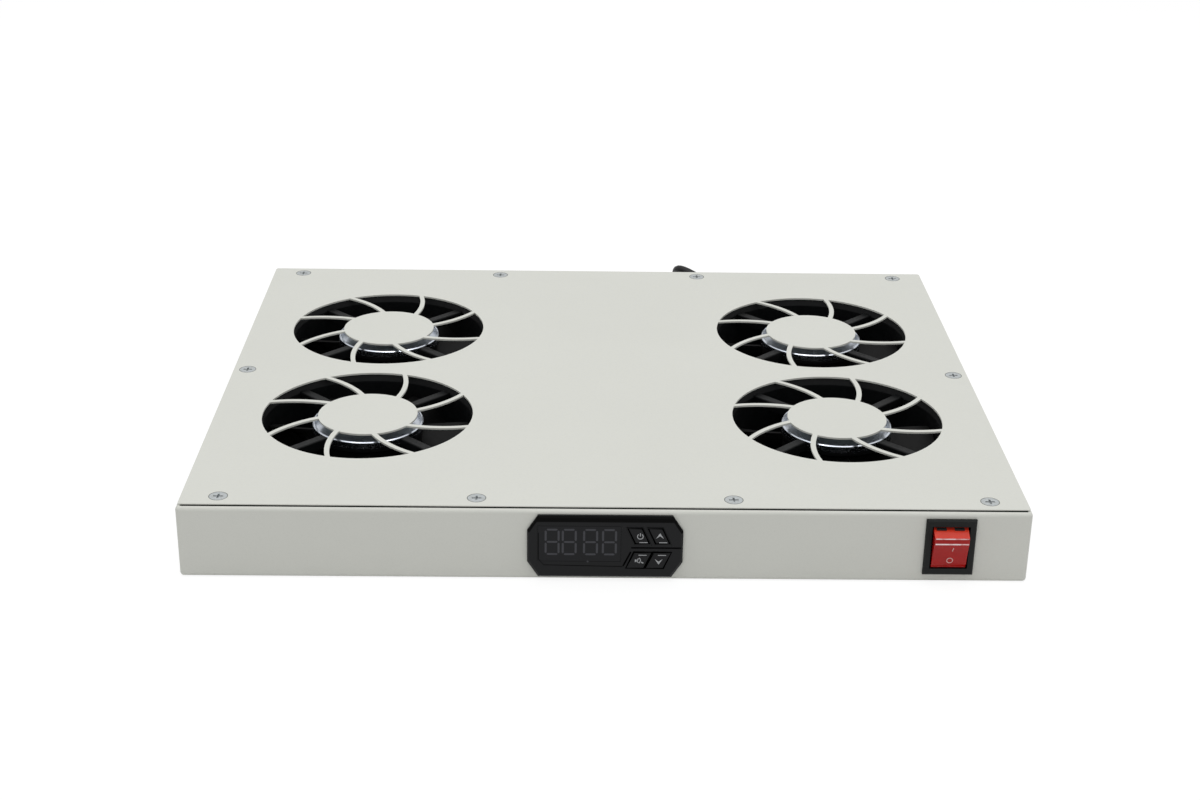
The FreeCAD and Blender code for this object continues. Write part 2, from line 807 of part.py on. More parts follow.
def switch_rocker():
    """Rocker with dished face and bevelled ridges, tilted to its OFF stop."""
    pivot = switch_pivot()
    half = switch_well_width / 2 - rocker_play
    x = switch_x - half

    def at(up, out):
        return Vector(x, pivot.y - out, pivot.z + up)

    root_out = rocker_pin
    face = Part.Arc(at(rocker_ridge, rocker_face), at(0, rocker_face - rocker_dish), at(-rocker_ridge, rocker_face))
    corners = [at(-rocker_ridge, rocker_face), at(-rocker_end, rocker_end_in), at(-rocker_root, root_out - rocker_pin),
               at(-rocker_root + rocker_pin, -root_out), at(rocker_root - rocker_pin, -root_out),
               at(rocker_root, root_out - rocker_pin), at(rocker_end, rocker_end_in), at(rocker_ridge, rocker_face)]
    sides = [Part.LineSegment(a, b).toShape() for a, b in zip(corners, corners[1:])]
    body = Part.Face(Part.Wire([face.toShape(), *sides])).extrude(Vector(2 * half, 0, 0))
    pins = cylinder(rocker_pin / 2, 2 * half + 2 * rocker_pin_length, switch_x - half - rocker_pin_length, pivot.y,
                    pivot.z, X_AXIS)
    rocker = body.fuse(pins)
    rocker.rotate(pivot, X_AXIS, rocker_tilt)
    return rocker


def switch_tabs():
    back = front_y + switch_body_depth
    return [
        box(blade_tab_width, blade_tab_length, blade_tab_thick, switch_x + side * blade_tab_x,
            back + blade_tab_length / 2, switch_z + level * blade_tab_z - blade_tab_thick / 2)
        for side in (-1, 1)
        for level in (-1, 1)
    ]


# ---------------------------------------------------------------- wiring inside
def terminal_block():
    """Screw terminal strip on the floor between the rear fans."""
    block = box(terminal_length, terminal_width, terminal_height, 0, terminal_y, sheet)
    pitch = terminal_length / terminal_ways
    wells = [
        cylinder(pitch * terminal_well / 2, terminal_height - terminal_base, -terminal_length / 2 + (k + 0.5) * pitch,
                 terminal_y, sheet + terminal_base)
        for k in range(terminal_ways)
    ]
    return block.cut(Part.makeCompound(wells))


def tube_along(points, diameter):
    """A round tube along straight runs joined by tangent arcs; returns it with its radii."""
    path, radii = rounded_path(points)
    direction = (points[1] - points[0]).normalize()
    circle = Part.makeCircle(diameter / 2, points[0], direction)
    return path.makePipeShell([Part.Wire(circle)], True, False), path.Length, radii


def rounded_path(points):
    edges, radii = [], []
    start = points[0]
    for before, corner, after in zip(points, points[1:], points[2:]):
        incoming, outgoing = corner - before, after - corner
        turn = incoming.getAngle(outgoing)
        setback = 0.45 * min(incoming.Length, outgoing.Length)
        radius = setback / math.tan(turn / 2)
        radii.append(radius)
        first = corner - incoming.normalize() * setback
        last = corner + outgoing.normalize() * setback
        inward = (first + last) * 0.5 - corner
        centre_gap = math.hypot(radius, setback)
        middle = corner + inward.normalize() * (centre_gap - radius)
        edges.append(Part.LineSegment(start, first).toShape())
        edges.append(Part.Arc(first, middle, last).toShape())
        start = last
    edges.append(Part.LineSegment(start, points[-1]).toShape())
    return Part.Wire(edges), radii


def straight(start, end, diameter):
    run = end - start
    return Part.makeCylinder(diameter / 2, run.Length, start, run)


def inside_wiring():
    """The bundle down the middle bay, with the fan leads and the switch leads joined to it."""
    trunk_x = controller_terminal_width / 5
    z = sheet + wire_height
    controller_back = front_y + controller_body_depth + controller_terminal_depth
    fan_face = fan_pitch_x / 2 - fan_size / 2
    front_bay_y = fan_row_shift - fan_pitch_y / 2 - fan_size / 2 - 2 * wire_bundle
    trunk = [
        Vector(trunk_x, terminal_y - terminal_width / 2, z),
        Vector(trunk_x, controller_back + 5 * wire_bundle, z),
        Vector(trunk_x, controller_back + 2 * wire_bundle, z + wire_bundle),
        Vector(trunk_x, controller_back, z + wire_bundle),
    ]
    switch_lead = [
        Vector(trunk_x, controller_back + 5 * wire_bundle, z),
        Vector(fan_face - 3 * wire_bundle, controller_back + 5 * wire_bundle, z),
        Vector(fan_face - 3 * wire_bundle, front_bay_y, z),
        Vector(switch_x, front_bay_y, z),
        Vector(switch_x, front_y + switch_body_depth, z),
    ]
    solids = [tube_along(trunk, wire_bundle)[0], tube_along(switch_lead, wire_bundle)[0]]
    for x, y in fan_places.values():
        side = math.copysign(1, x)
        solids.append(straight(Vector(trunk_x, y, z), Vector(side * fan_face, y, z), fan_lead))
    return fused(solids)


def inner_lead():
    """The mains lead inside, from the strain relief to the terminal block."""
    start = Vector(cord_exit.x, rear_y - relief_inside, cord_exit.z)
    z = sheet + wire_height
    route = [
        start,
        Vector(cord_exit.x, start.y - cord_diameter, cord_exit.z),
        Vector(cord_exit.x - 2 * cord_diameter, start.y - 3 * cord_diameter, z),
        Vector(terminal_length / 4, start.y - 4 * cord_diameter, z),
        Vector(terminal_length / 4, terminal_y + terminal_width / 2, z),
    ]
    return tube_along(route, cord_diameter)[0]


def probe_place():
    return Vector(-controller_terminal_width / 2 - probe_diameter, probe_y, probe_height)


def temperature_probe():
    """Sheathed sensor in the air stream, with its thin lead back to the controller."""
    place = probe_place()
    controller_back = front_y + controller_body_depth + controller_terminal_depth
    sheath = cylinder(probe_diameter / 2, probe_length, place.x, place.y, place.z, Y_AXIS)
    lead_end = Vector(-controller_terminal_width / 3, controller_back, probe_height)
    route = [place, Vector(place.x, controller_back + probe_length, place.z),
             Vector(lead_end.x, controller_back + probe_length / 2, lead_end.z), lead_end]
    return sheath.fuse(tube_along(route, fan_lead)[0])


def probe_clip():
    """Sprung clip that holds the sensor clear of the floor."""
    place = probe_place()
    middle = place.y + probe_length / 2
    outer = probe_diameter / 2 + probe_clip_sheet
    grip = cylinder(outer, probe_clip_width, place.x, middle - probe_clip_width / 2, place.z, Y_AXIS)
    leg = box(2 * probe_clip_sheet, probe_clip_width, place.z - sheet, place.x, middle, sheet)
    foot = box(4 * outer, probe_clip_width, probe_clip_sheet, place.x, middle, sheet)
    mouth = box(probe_clip_mouth, probe_clip_width, 2 * outer, place.x, middle, place.z + outer / 2)
    bore = cylinder(probe_diameter / 2, probe_clip_width, place.x, middle - probe_clip_width / 2, place.z, Y_AXIS)
    return fused([grip, leg, foot]).cut(mouth).cut(bore)


# ---------------------------------------------------------------- mains lead
def strain_relief():
    """Moulded bush snapped into the rear wall, with its tapered sleeve round the lead."""
    x, z = cord_exit.x, cord_exit.z
    head = cylinder(relief_head / 2, relief_head_depth, x, rear_y, z, Y_AXIS)
    rim = [e for e in head.Edges if e.Closed and e.Vertexes[0].Y > rear_y + relief_head_depth / 2]
    head = head.makeFillet(relief_head_depth / 3, rim)
    boot = Part.makeCone(relief_boot / 2, relief_boot_end / 2, relief_boot_length,
                         Vector(x, rear_y + relief_head_depth, z), Y_AXIS)
    neck = cylinder(relief_neck / 2, relief_inside, x, rear_y - relief_inside, z, Y_AXIS)
    catch_depth = relief_inside / 3
    catch = cylinder(relief_head / 2 - 2 * fit, catch_depth, x, rear_y - sheet - catch_depth, z, Y_AXIS)
    return fused([head, boot, neck, catch])


def mains_cord():
    """The lead from the sleeve to the hank, and its end from the hank to the plug."""
    hank = hank_outline()
    section = math.pi * cord_diameter ** 2 / 4
    tubes = []
    for route in (cord_route, cord_end_route):
        tube, length, radii = tube_along([Vector(*point) for point in route], cord_diameter)
        print("cord radii", [round(r, 1) for r in radii], "length", round(length, 1))
        print("cord volume over section times length", round(tube.Volume / (section * length), 4))
        tubes.append(tube.cut(hank))
    return tubes


def tangent_place(start, middle, radius, side):
    """Where a line from start meets a circle round middle at a tangent; side is 1 for the higher one."""
    away = start - middle
    angle = math.atan2(away.y, away.x) + side * math.copysign(math.acos(radius / away.Length), away.x)
    return Vector(middle.x + radius * math.cos(angle), middle.y + radius * math.sin(angle), 0)


def closed_prism(edges, height):
    return Part.Face(Part.Wire(edges)).extrude(Vector(0, 0, height))


def hank_outline():
    """Two round ends drawn in to the strap: the outside of the folded lead."""
    outer, inner = hank_outer_turn + cord_diameter / 2, hank_inner_turn - cord_diameter / 2
    neck = tie_width / 2 + hank_neck
    edges, holes = [], []
    for side in (1, -1):
        middle = Vector(side * hank_run / 2, 0, 0)
        corner = Vector(side * neck, side * hank_waist, 0)
        far = Vector(middle.x + side * outer, 0, 0)
        first = tangent_place(corner, middle, outer, side)
        last = Vector(first.x, -first.y, 0)
        foot = Vector(side * neck, -side * hank_waist, 0)
        edges += [Part.LineSegment(corner, first).toShape(), Part.Arc(first, far, last).toShape(),
                  Part.LineSegment(last, foot).toShape(),
                  Part.LineSegment(foot, Vector(-side * neck, -side * hank_waist, 0)).toShape()]
        start = Vector(side * neck, 0, 0)
        first = tangent_place(start, middle, inner, side)
        last = Vector(first.x, -first.y, 0)
        far = Vector(middle.x + side * inner, 0, 0)
        holes.append(closed_prism(
            [Part.LineSegment(start, first).toShape(), Part.Arc(first, far, last).toShape(),
             Part.LineSegment(last, start).toShape()], hank_height))
    hank = closed_prism(edges, hank_height).cut(Part.makeCompound(holes))
    hank.translate(Vector(hank_middle, hank_y, 0))
    return hank


def strap_section(inset):
    """The strap's outer shape, or its inner one with an inset."""
    bar = box(tie_width, 2 * hank_waist - 2 * inset, hank_height - 2 * inset, hank_middle, hank_y, inset)
    return bar.makeFillet(cord_diameter / 2, along(bar, X_AXIS))


def cord_hank():
    """The outer shape of the bundled length, drawn in where the strap goes round it."""
    band = box(tie_width, 4 * hank_waist, 4 * hank_height, hank_middle, hank_y, -hank_height)
    return hank_outline().cut(band.cut(strap_section(tie_sheet)))


def cord_tie():
    return strap_section(0).cut(strap_section(tie_sheet))


def plug_body():
    """Moulded three-pin appliance plug with its bend relief, lying flat."""
    start, middle = plug_start.x, plug_start.y
    boot = Part.makeCone(plug_boot_end / 2, plug_boot_root / 2, plug_boot_length, plug_start, X_AXIS)
    grip_x = start + plug_boot_length
    grip = box(plug_length, plug_width, plug_height, grip_x + plug_length / 2, middle, plug_start.z - plug_height / 2)
    grip = grip.makeFillet(plug_round, along(grip, X_AXIS))
    shroud_x = grip_x + plug_length + plug_shroud_length / 2
    shroud_low = plug_start.z - plug_shroud_height / 2
    shroud = box(plug_shroud_length, plug_shroud_width, plug_shroud_height, shroud_x, middle, shroud_low)
    shroud = shroud.makeFillet(plug_round / 2, along(shroud, X_AXIS))
    hollow = box(plug_shroud_length, plug_shroud_width - 2 * plug_shroud_wall,
                 plug_shroud_height - 2 * plug_shroud_wall, shroud_x, middle, shroud_low + plug_shroud_wall)
    return fused([boot, grip, shroud]).cut(hollow)


def plug_pins():
    x = plug_start.x + plug_boot_length + plug_length + pin_length / 2
    places = [(-pin_pitch, -pin_pitch / 4), (0, pin_pitch / 4), (pin_pitch, -pin_pitch / 4)]
    return [
        box(pin_length, pin_width, pin_height, x, plug_start.y + dy, plug_start.z + dz - pin_height / 2)
        for dy, dz in places
    ]


# ---------------------------------------------------------------- the nodes
def fan_nodes():
    pieces = {
        "frame": fan_frame(),
        "motor_cup": motor_cup(),
        "bearings": Part.makeCompound(fan_bearings()),
        "stator": Part.makeCompound(fan_stator()),
        "impeller": impeller(),
        "shaft": fan_shaft(),
    }
    nodes = {}
    for place, (x, y) in fan_places.items():
        for name, shape in pieces.items():
            placed = shape.copy()
            placed.translate(Vector(x, y, 0))
            nodes[f"fan_{name}_{place}"] = placed
    return nodes


def all_nodes():
    nodes = {
        "base_tray": base_tray(),
        "top_cover": top_cover(),
        "cover_screws": Part.makeCompound([cover_screw(x, y) for x, y in cover_screw_places]),
        "weld_nuts": Part.makeCompound([weld_nut(x, y) for x, y in cover_screw_places]),
        "fan_studs": Part.makeCompound([fan_stud(x, y) for x, y in fan_stud_places()]),
        "fan_nuts": Part.makeCompound([fan_nut(x, y) for x, y in fan_stud_places()]),
        "earth_stud": earth_stud(),
        "earth_nut": earth_nut(),
        "controller_front": controller_front(),
        "controller_window": controller_window(),
        "controller_display": controller_display(),
        "controller_board": controller_board(),
        "controller_housing": controller_housing(),
        "controller_clips": Part.makeCompound(controller_clips()),
        "controller_terminals": controller_terminals(),
        "switch_housing": switch_housing(),
        "switch_rocker": switch_rocker(),
        "switch_tabs": Part.makeCompound(switch_tabs()),
        "terminal_block": terminal_block(),
        "inside_wiring": inside_wiring(),
        "inner_lead": inner_lead(),
        "temperature_probe": temperature_probe(),
        "probe_clip": probe_clip(),
        "strain_relief": strain_relief(),
        "mains_cord": Part.makeCompound(mains_cord()),
        "cord_hank": cord_hank(),
        "cord_tie": cord_tie(),
        "plug_body": plug_body(),
        "plug_pins": Part.makeCompound(plug_pins()),
    }
    for name in button_outlines():
        nodes[f"key_{name}"] = controller_key(name)
    nodes.update(fan_nodes())
    return nodes


def main():
    os.makedirs("parts", exist_ok=True)
    for node, shape in all_nodes().items():
        if not shape.isValid():
            print("not valid:", node)
        write(node, shape)


main()
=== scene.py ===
import math

import bmesh
import bpy
from bpy.props import FloatProperty, FloatVectorProperty, PointerProperty, StringProperty
from mathutils import Matrix, Vector


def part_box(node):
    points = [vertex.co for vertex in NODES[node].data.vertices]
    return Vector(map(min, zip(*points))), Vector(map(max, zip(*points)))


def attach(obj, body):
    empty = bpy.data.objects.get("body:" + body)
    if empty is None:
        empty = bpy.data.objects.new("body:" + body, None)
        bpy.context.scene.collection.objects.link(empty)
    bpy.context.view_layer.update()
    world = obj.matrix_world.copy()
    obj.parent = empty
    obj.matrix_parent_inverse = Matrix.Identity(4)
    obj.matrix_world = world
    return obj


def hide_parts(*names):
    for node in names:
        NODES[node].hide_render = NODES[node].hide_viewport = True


bl_info = {
    "name": "Rack fan tray",
    "version": (1, 0, 0),
    "blender": (4, 5, 0),
    "location": "View3D > Sidebar > Fan tray",
    "description": "Dresses the four-fan rack tray: finishes, markings, wiring and the bundled mains lead",
    "category": "Object",
}

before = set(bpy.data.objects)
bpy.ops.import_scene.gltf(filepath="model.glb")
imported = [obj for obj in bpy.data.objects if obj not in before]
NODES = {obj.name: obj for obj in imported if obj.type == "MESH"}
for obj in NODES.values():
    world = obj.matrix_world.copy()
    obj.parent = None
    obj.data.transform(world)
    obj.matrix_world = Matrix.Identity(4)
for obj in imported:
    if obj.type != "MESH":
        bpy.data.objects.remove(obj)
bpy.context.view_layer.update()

MM = 0.001
# At scale 1 a wave texture repeats after this many metres, and a brick texture's bricks are this long.
WAVE_LENGTH, BRICK_LENGTH = math.tau / 20, 0.5
FAN_PLACES = ("front_left", "front_right", "rear_left", "rear_right")
KEY_NAMES = ("power", "up", "mute", "down")

# The lead's way from its sleeve to the hank, and from the hank to the plug, in millimetres.
CORD_ROUTE = [
    (88.0, 189.0, 15.0), (88.0, 207.0, 15.0), (76.5, 221.5, 15.5), (55.3, 229.0, 25.1),
    (55.8, 243.0, 12.0), (50.5, 257.5, 4.5), (36.0, 268.0, 2.8), (17.0, 268.0, 2.8),
    (0.0, 258.0, 2.8), (-13.0, 243.0, 2.8), (-27.0, 231.0, 2.8), (-43.0, 226.4, 2.8),
    (-62.0, 226.4, 2.8),
]
CORD_END_ROUTE = [
    (-62.0, 181.6, 8.4), (-44.0, 181.6, 8.4), (-27.0, 187.5, 10.5), (-12.0, 191.5, 10.5),
    (0.0, 191.5, 10.5),
]

# The rocker's axis, its tilt at rest and half its width.
ROCKER_AXIS = Vector((174.0, -171.3, 20.3))
ROCKER_TILT = math.radians(15)
ROCKER_HALF = 8.8
# Half of the rocker's outline, from its middle: height along its face, and distance out from its axis.
ROCKER_OUTLINE = [
    (2.2, 7.8), (4.4, 7.95), (6.3, 8.1), (6.5, 8.4), (6.95, 8.4), (7.2, 8.05), (9.2, 7.5),
    (9.5, 7.7), (9.85, 7.45), (9.95, 7.0), (11.4, 0.0), (8.4, -2.8),
]
ROCKER_MIDDLE, ROCKER_END = 7.75, 10.9
# Where the ink lies on the dished face, and how fast the dish rises.
DISH_OUT, DISH_RISE = 7.76, 0.0088

# Where the digits stand on the display.
DIGIT_LEFTS = (-29.9, -21.3, -10.6, -1.1)
DIGIT_WIDTH, DIGIT_HEIGHT, DIGIT_LOW = 6.5, 13.8, 15.5
SEGMENT_WIDTH, SEGMENT_GAP = 1.05, 0.9

# How far the upper and lower keys lean over their whole height.
UPPER_LEAN, LOWER_LEAN = 4.5, -3.9

# The floor's radius, how far it lies under the tray, and how its painted shade fades in under the tray, in
# metres.
FLOOR_RADIUS, FLOOR_DROP = 6.0, 0.0002
SHADE_INNER, SHADE_OUTER = 0.015, 0.005


# ---------------------------------------------------------------- settings
class FanTrayColours(bpy.types.PropertyGroup):
    """Colours as they are seen, in sRGB hex."""

    powder_coat: StringProperty(name="Powder coat", description="Tray and cover", default="#D8D9D2")
    zinc: StringProperty(name="Zinc", description="Screws, studs and nuts", default="#B3B8BA")
    casting: StringProperty(name="Fan casting", description="Painted fan frames", default="#090A0B")
    motor_cup: StringProperty(name="Motor cup", description="Plated pressing on a motor", default="#C6CBD3")
    fan_plastic: StringProperty(name="Impeller", description="Fan blades and hub", default="#040404")
    controller: StringProperty(name="Controller", description="Moulded controller front", default="#0B0C0E")
    window: StringProperty(name="Display window", description="Smoked window", default="#0B0C0F")
    segments: StringProperty(name="Unlit segments", description="Digits that are off", default="#22232A")
    print_ink: StringProperty(name="Key print", description="Symbols on the keys", default="#A9ABAD")
    switch: StringProperty(name="Switch frame", description="Rocker switch housing", default="#0A0D0C")
    rocker: StringProperty(name="Rocker", description="Translucent rocker", default="#AE1512")
    cable: StringProperty(name="Cable", description="Mains lead and plug", default="#0D0E0F")


class FanTraySizes(bpy.types.PropertyGroup):
    """Sizes of what is added to the tray."""

    cord_diameter: FloatProperty(
        name="Lead diameter", description="Outside of the mains lead's sheath", default=0.0056, unit="LENGTH"
    )
    cord_length: FloatProperty(
        name="Lead length", description="From the sleeve to the plug", default=1.65, unit="LENGTH"
    )
    hank_run: FloatProperty(
        name="Hank run", description="Between the middles of the hank's folds", default=0.112, unit="LENGTH"
    )
    hank_turn: FloatProperty(
        name="Inner fold", description="Radius of the hank's inner folds", default=0.0168, unit="LENGTH"
    )
    cover_gap: FloatProperty(
        name="Cover gap", description="How far the cover's front edge stands off the tray", default=0.0005,
        unit="LENGTH",
    )
    grain: FloatProperty(
        name="Coating grain", description="Size of the powder coat's texture", default=0.0007, unit="LENGTH"
    )


class FanTrayView(bpy.types.PropertyGroup):
    """The camera and the studio."""

    camera_place: FloatVectorProperty(
        name="Camera", description="Where the camera stands", default=(-0.01829, -1.0324, 0.474286),
        subtype="TRANSLATION",
    )
    camera_turn: FloatVectorProperty(
        name="Camera turn", description="Turn to the right, tilt up and roll, in radians",
        default=(0.017064, -0.412147, 0.015305), unit="ROTATION",
    )
    lens: FloatProperty(
        name="Lens", description="Focal length in millimetres", default=57.613, unit="CAMERA"
    )
    ambient: FloatProperty(name="Ambient", description="Strength of the even light", default=0.5)
    softbox: FloatProperty(
        name="Softbox", description="Power of the overhead softbox", default=11.5, unit="POWER"
    )
    strip: FloatProperty(
        name="Strip", description="Power of the narrow overhead strip", default=4.0, unit="POWER"
    )
    front_fill: FloatProperty(
        name="Front fill", description="Power of the front fill", default=0.7, unit="POWER"
    )
    floor_glow: FloatProperty(
        name="Floor", description="How bright the floor looks around the tray", default=0.86
    )


def settings():
    """The colours, the sizes and the view."""
    scene = bpy.context.scene
    return scene.fan_tray_colours, scene.fan_tray_sizes, scene.fan_tray_view


# ---------------------------------------------------------------- materials
def to_linear(colour):
    """Linear RGBA from sRGB hex."""
    channels = [int(colour[k : k + 2], 16) / 255 for k in (1, 3, 5)]
    linear = [c / 12.92 if c <= 0.04045 else ((c + 0.055) / 1.055) ** 2.4 for c in channels]
    return (*linear, 1.0)


def set_sockets(tree, node, sockets):
    """Values or links for a node's sockets, given by name or number."""
    for name, value in dict(sockets).items():
        if isinstance(value, bpy.types.NodeSocket):
            tree.links.new(value, node.inputs[name])
        else:
            node.inputs[name].default_value = value


def add_node(tree, kind, sockets=(), **values):
    """A shader node with its settings and its sockets."""
    node = tree.nodes.new(kind)
    for name, value in values.items():
        setattr(node, name, value)
    set_sockets(tree, node, sockets)
    return node


def finish(name, colour, roughness, metallic=0.0, tints=(), gloss=None, reliefs=(), **sockets):
    """A material whose colour, gloss and relief follow patterns.

    A pattern is either soft patches, as their size in millimetres, how broken up they are and, if they
    are squeezed, by how much along each axis; or a texture node's kind, its sockets and its settings.
    Each tint is a pattern, the span of it that counts, the tint's greatest share and its colour. The
    gloss is a pattern and the roughness at its two ends. Each relief is a pattern, its depth in
    millimetres and its strength. Other sockets of the shader have underscores for their spaces.
    """
    material = bpy.data.materials.new(name)
    material.use_nodes = True
    tree = material.node_tree
    shader = tree.nodes["Principled BSDF"]
    place = add_node(tree, "ShaderNodeTexCoord").outputs["Object"]
    looks = {key.replace("_", " "): value for key, value in sockets.items()}
    looks.update({"Base Color": to_linear(colour), "Roughness": roughness, "Metallic": metallic})

    def texture(pattern):
        kind, values, settled = pattern if isinstance(pattern[0], str) else ("ShaderNodeTexNoise", {}, {})
        where = place
        if not values:
            size, detail, *squeeze = pattern
            values = {"Scale": 1 / (size * MM), "Detail": detail}
            if squeeze:
                where = add_node(tree, "ShaderNodeMapping", {"Vector": place, "Scale": squeeze[0]}).outputs[0]
        return add_node(tree, kind, {"Vector": where, **values}, **settled).outputs["Fac"]

    def spread(pattern, start, end, low, high):
        span = {"From Min": start, "From Max": end, "To Min": low, "To Max": high}
        return add_node(tree, "ShaderNodeMapRange", {"Value": texture(pattern), **span}).outputs["Result"]

    for pattern, start, end, share, tint in tints:
        mixed = {0: spread(pattern, start, end, 0.0, share), 6: looks["Base Color"], 7: to_linear(tint)}
        looks["Base Color"] = add_node(tree, "ShaderNodeMix", mixed, data_type="RGBA").outputs[2]
    if gloss:
        pattern, low, high = gloss
        looks["Roughness"] = spread(pattern, 0.0, 1.0, low, high)
    for pattern, depth, strength in reliefs:
        raised = {"Height": texture(pattern), "Distance": depth * MM, "Strength": strength}
        if "Normal" in looks:
            raised["Normal"] = looks["Normal"]
        looks["Normal"] = add_node(tree, "ShaderNodeBump", raised).outputs[0]
    set_sockets(tree, shader, looks)
    return material


def powder_coated_steel(colour, grain):
    """Baked powder on sheet steel: half matt, an even fine grain and a slight waviness."""
    return finish(
        "powder_coated_steel", colour, 0.55,
        tints=[((90.0, 3.0), 0.35, 0.75, 0.35, "#D2D3CC"), ((1.1, 2.0), 0.5, 0.8, 0.16, "#C4C5BE")],
        gloss=((4.0, 2.0), 0.48, 0.62),
        reliefs=[((grain / MM, 1.5), 0.03, 0.55), ((35.0, 1.0), 0.12, 0.35)],
        Specular_IOR_Level=0.4,
    )


def zinc_plated_steel(colour):
    """Barrel-plated fasteners: pale bluish grey, cloudy, with soft reflections."""
    return finish(
        "zinc_plated_steel", colour, 0.45, 0.6,
        tints=[((1.6, 4.0), 0.4, 0.65, 0.6, "#A3A5A2")],
        gloss=((0.8, 3.0), 0.4, 0.6),
        reliefs=[((0.5, 3.0), 0.01, 0.5)],
    )


def painted_aluminium_casting(colour):
    """Die casting under black paint: dull, with the casting's skin showing through."""
    return finish(
        "painted_aluminium_casting", colour, 0.5,
        tints=[((6.0, 4.0), 0.45, 0.75, 0.6, "#131415")],
        gloss=((2.0, 3.0), 0.38, 0.6),
        reliefs=[((0.8, 3.0), 0.06, 0.7)],
        Specular_IOR_Level=0.14,
    )


def bright_plated_steel(colour):
    """Deep-drawn cup, plated bright: it mirrors the dark duct and shines along its rim."""
    return finish(
        "bright_plated_steel", colour, 0.24, 1.0,
        tints=[((20.0, 2.0), 0.4, 0.7, 0.4, "#9CA6B2")],
        gloss=((3.0, 2.0), 0.18, 0.32),
        reliefs=[((1.6, 2.0), 0.01, 0.4)],
    )


def ground_steel():
    """Shafts and bearings, ground: fine bright rings round the axis."""
    return finish(
        "ground_steel", "#B7B9BA", 0.22, 1.0,
        gloss=((1.0, 3.0, (1, 1, 14)), 0.15, 0.34),
        reliefs=[((0.6, 2.0, (0.3, 0.3, 8)), 0.006, 0.5)],
    )


def motor_laminations():
    """Electrical steel stacked from half-millimetre sheets, of which every other edge is darker."""
    pair = 0.988
    sheets = (
        "ShaderNodeTexWave",
        {"Scale": WAVE_LENGTH / (pair * MM), "Distortion": 0.6, "Detail": 1.0},
        {"bands_direction": "Z"},
    )
    return finish(
        "motor_laminations", "#6B5040", 0.42, 0.4,
        tints=[(sheets, 0.0, 1.0, 0.8, "#2E2622"), ((4.0, 3.0), 0.45, 0.7, 0.6, "#8A5A34")],
        reliefs=[(sheets, 0.12, 0.8)],
    )


def moulded(name, colour, lighter, roughness, **sockets):
    """An injection moulding: the mould's spark-eroded grain keeps it from shining evenly."""
    return finish(
        name, colour, roughness,
        tints=[((14.0, 3.0), 0.4, 0.75, 0.5, lighter)],
        gloss=((3.0, 2.0), roughness - 0.06, roughness + 0.08),
        reliefs=[((0.6, 2.0), 0.02, 0.6)],
        **sockets,
    )


def smoked_acrylic(colour):
    """Cast sheet dyed nearly black: smooth, a little glossier than the frame round it."""
    return finish(
        "smoked_acrylic", colour, 0.4,
        tints=[((20.0, 2.0), 0.4, 0.7, 0.3, "#0D0E12")],
        gloss=((6.0, 2.0), 0.36, 0.46),
        reliefs=[((10.0, 1.0), 0.01, 0.3)],
        Specular_IOR_Level=0.2,
    )


def green_circuit_board():
    """Solder mask over etched tracks 2 mm apart: green, with lighter raised lines and pale pads."""
    track_pitch = 1.923
    black, white = (0, 0, 0, 1), (1, 1, 1, 1)
    tracks = (
        "ShaderNodeTexBrick",
        {"Scale": BRICK_LENGTH / (track_pitch * MM), "Mortar Size": 0.03, "Color1": black, "Color2": black,
         "Mortar": white},
        {},
    )
    return finish(
        "green_circuit_board", "#17482C", 0.35,
        tints=[(tracks, 0.0, 1.0, 0.7, "#2D7347"), ((2.0, 0.0), 0.72, 0.76, 1.0, "#B9B48E")],
        reliefs=[(tracks, 0.05, 0.8)],
        Coat_Weight=0.3,
    )


def drawn_brass():
    """Pins and tabs of drawn brass: warm, with darker tarnish in patches."""
    return finish(
        "drawn_brass", "#C6A866", 0.3, 1.0,
        tints=[((3.0, 3.0), 0.45, 0.7, 0.7, "#9A8148")],
        gloss=((1.0, 3.0), 0.22, 0.42),
    )


def cable_sheath(name, colour, lighter, roughness=0.42):
    """Extruded PVC: soft black with a low sheen, and dust that greys it in places."""
    return finish(
        name, colour, roughness,
        tints=[((10.0, 4.0), 0.45, 0.75, 0.6, lighter)],
        gloss=((4.0, 3.0), roughness - 0.08, roughness + 0.12),
        reliefs=[((0.7, 2.0), 0.03, 0.5)],
        Specular_IOR_Level=0.28,
    )


def hook_and_loop():
    """Woven nylon strap: ribs a millimetre apart across it, and a soft pile that catches light."""
    rib_pitch = 1.047
    ribs = (
        "ShaderNodeTexWave",
        {"Scale": WAVE_LENGTH / (rib_pitch * MM), "Distortion": 1.0, "Detail": 1.0},
        {"bands_direction": "X"},
    )
    return finish(
        "hook_and_loop_strap", "#1A1A1B", 0.9,
        tints=[(ribs, 0.0, 1.0, 0.6, "#2B2B2C")],
        reliefs=[(ribs, 0.2, 0.8), ((0.4, 3.0), 0.1, 0.8)],
        Sheen_Weight=0.5, Sheen_Roughness=0.4,
    )


def translucent_red(colour, name="translucent_red_polycarbonate", deeper="#931716"):
    """Red polycarbonate: light goes some way in, so the body glows a little."""
    return finish(
        name, colour, 0.16,
        tints=[((6.0, 2.0), 0.4, 0.8, 0.5, deeper)],
        gloss=((2.0, 2.0), 0.12, 0.22),
        reliefs=[((3.0, 1.0), 0.01, 0.4)],
        Specular_IOR_Level=0.22, Subsurface_Weight=0.1, Subsurface_Scale=0.002,
        Subsurface_Radius=(1.0, 0.1, 0.08),
    )


def ridge_highlight_paint():
    """Painted highlight on the rocker's moulded ridges: pale pink lines that stand for the light they catch.
    """
    return finish(
        "painted_red_ridge_highlight", "#FBE9EA", 0.3,
        tints=[((3.0, 2.0), 0.45, 0.65, 0.75, "#D2554C")],
        gloss=((1.0, 2.0), 0.2, 0.4),
    )


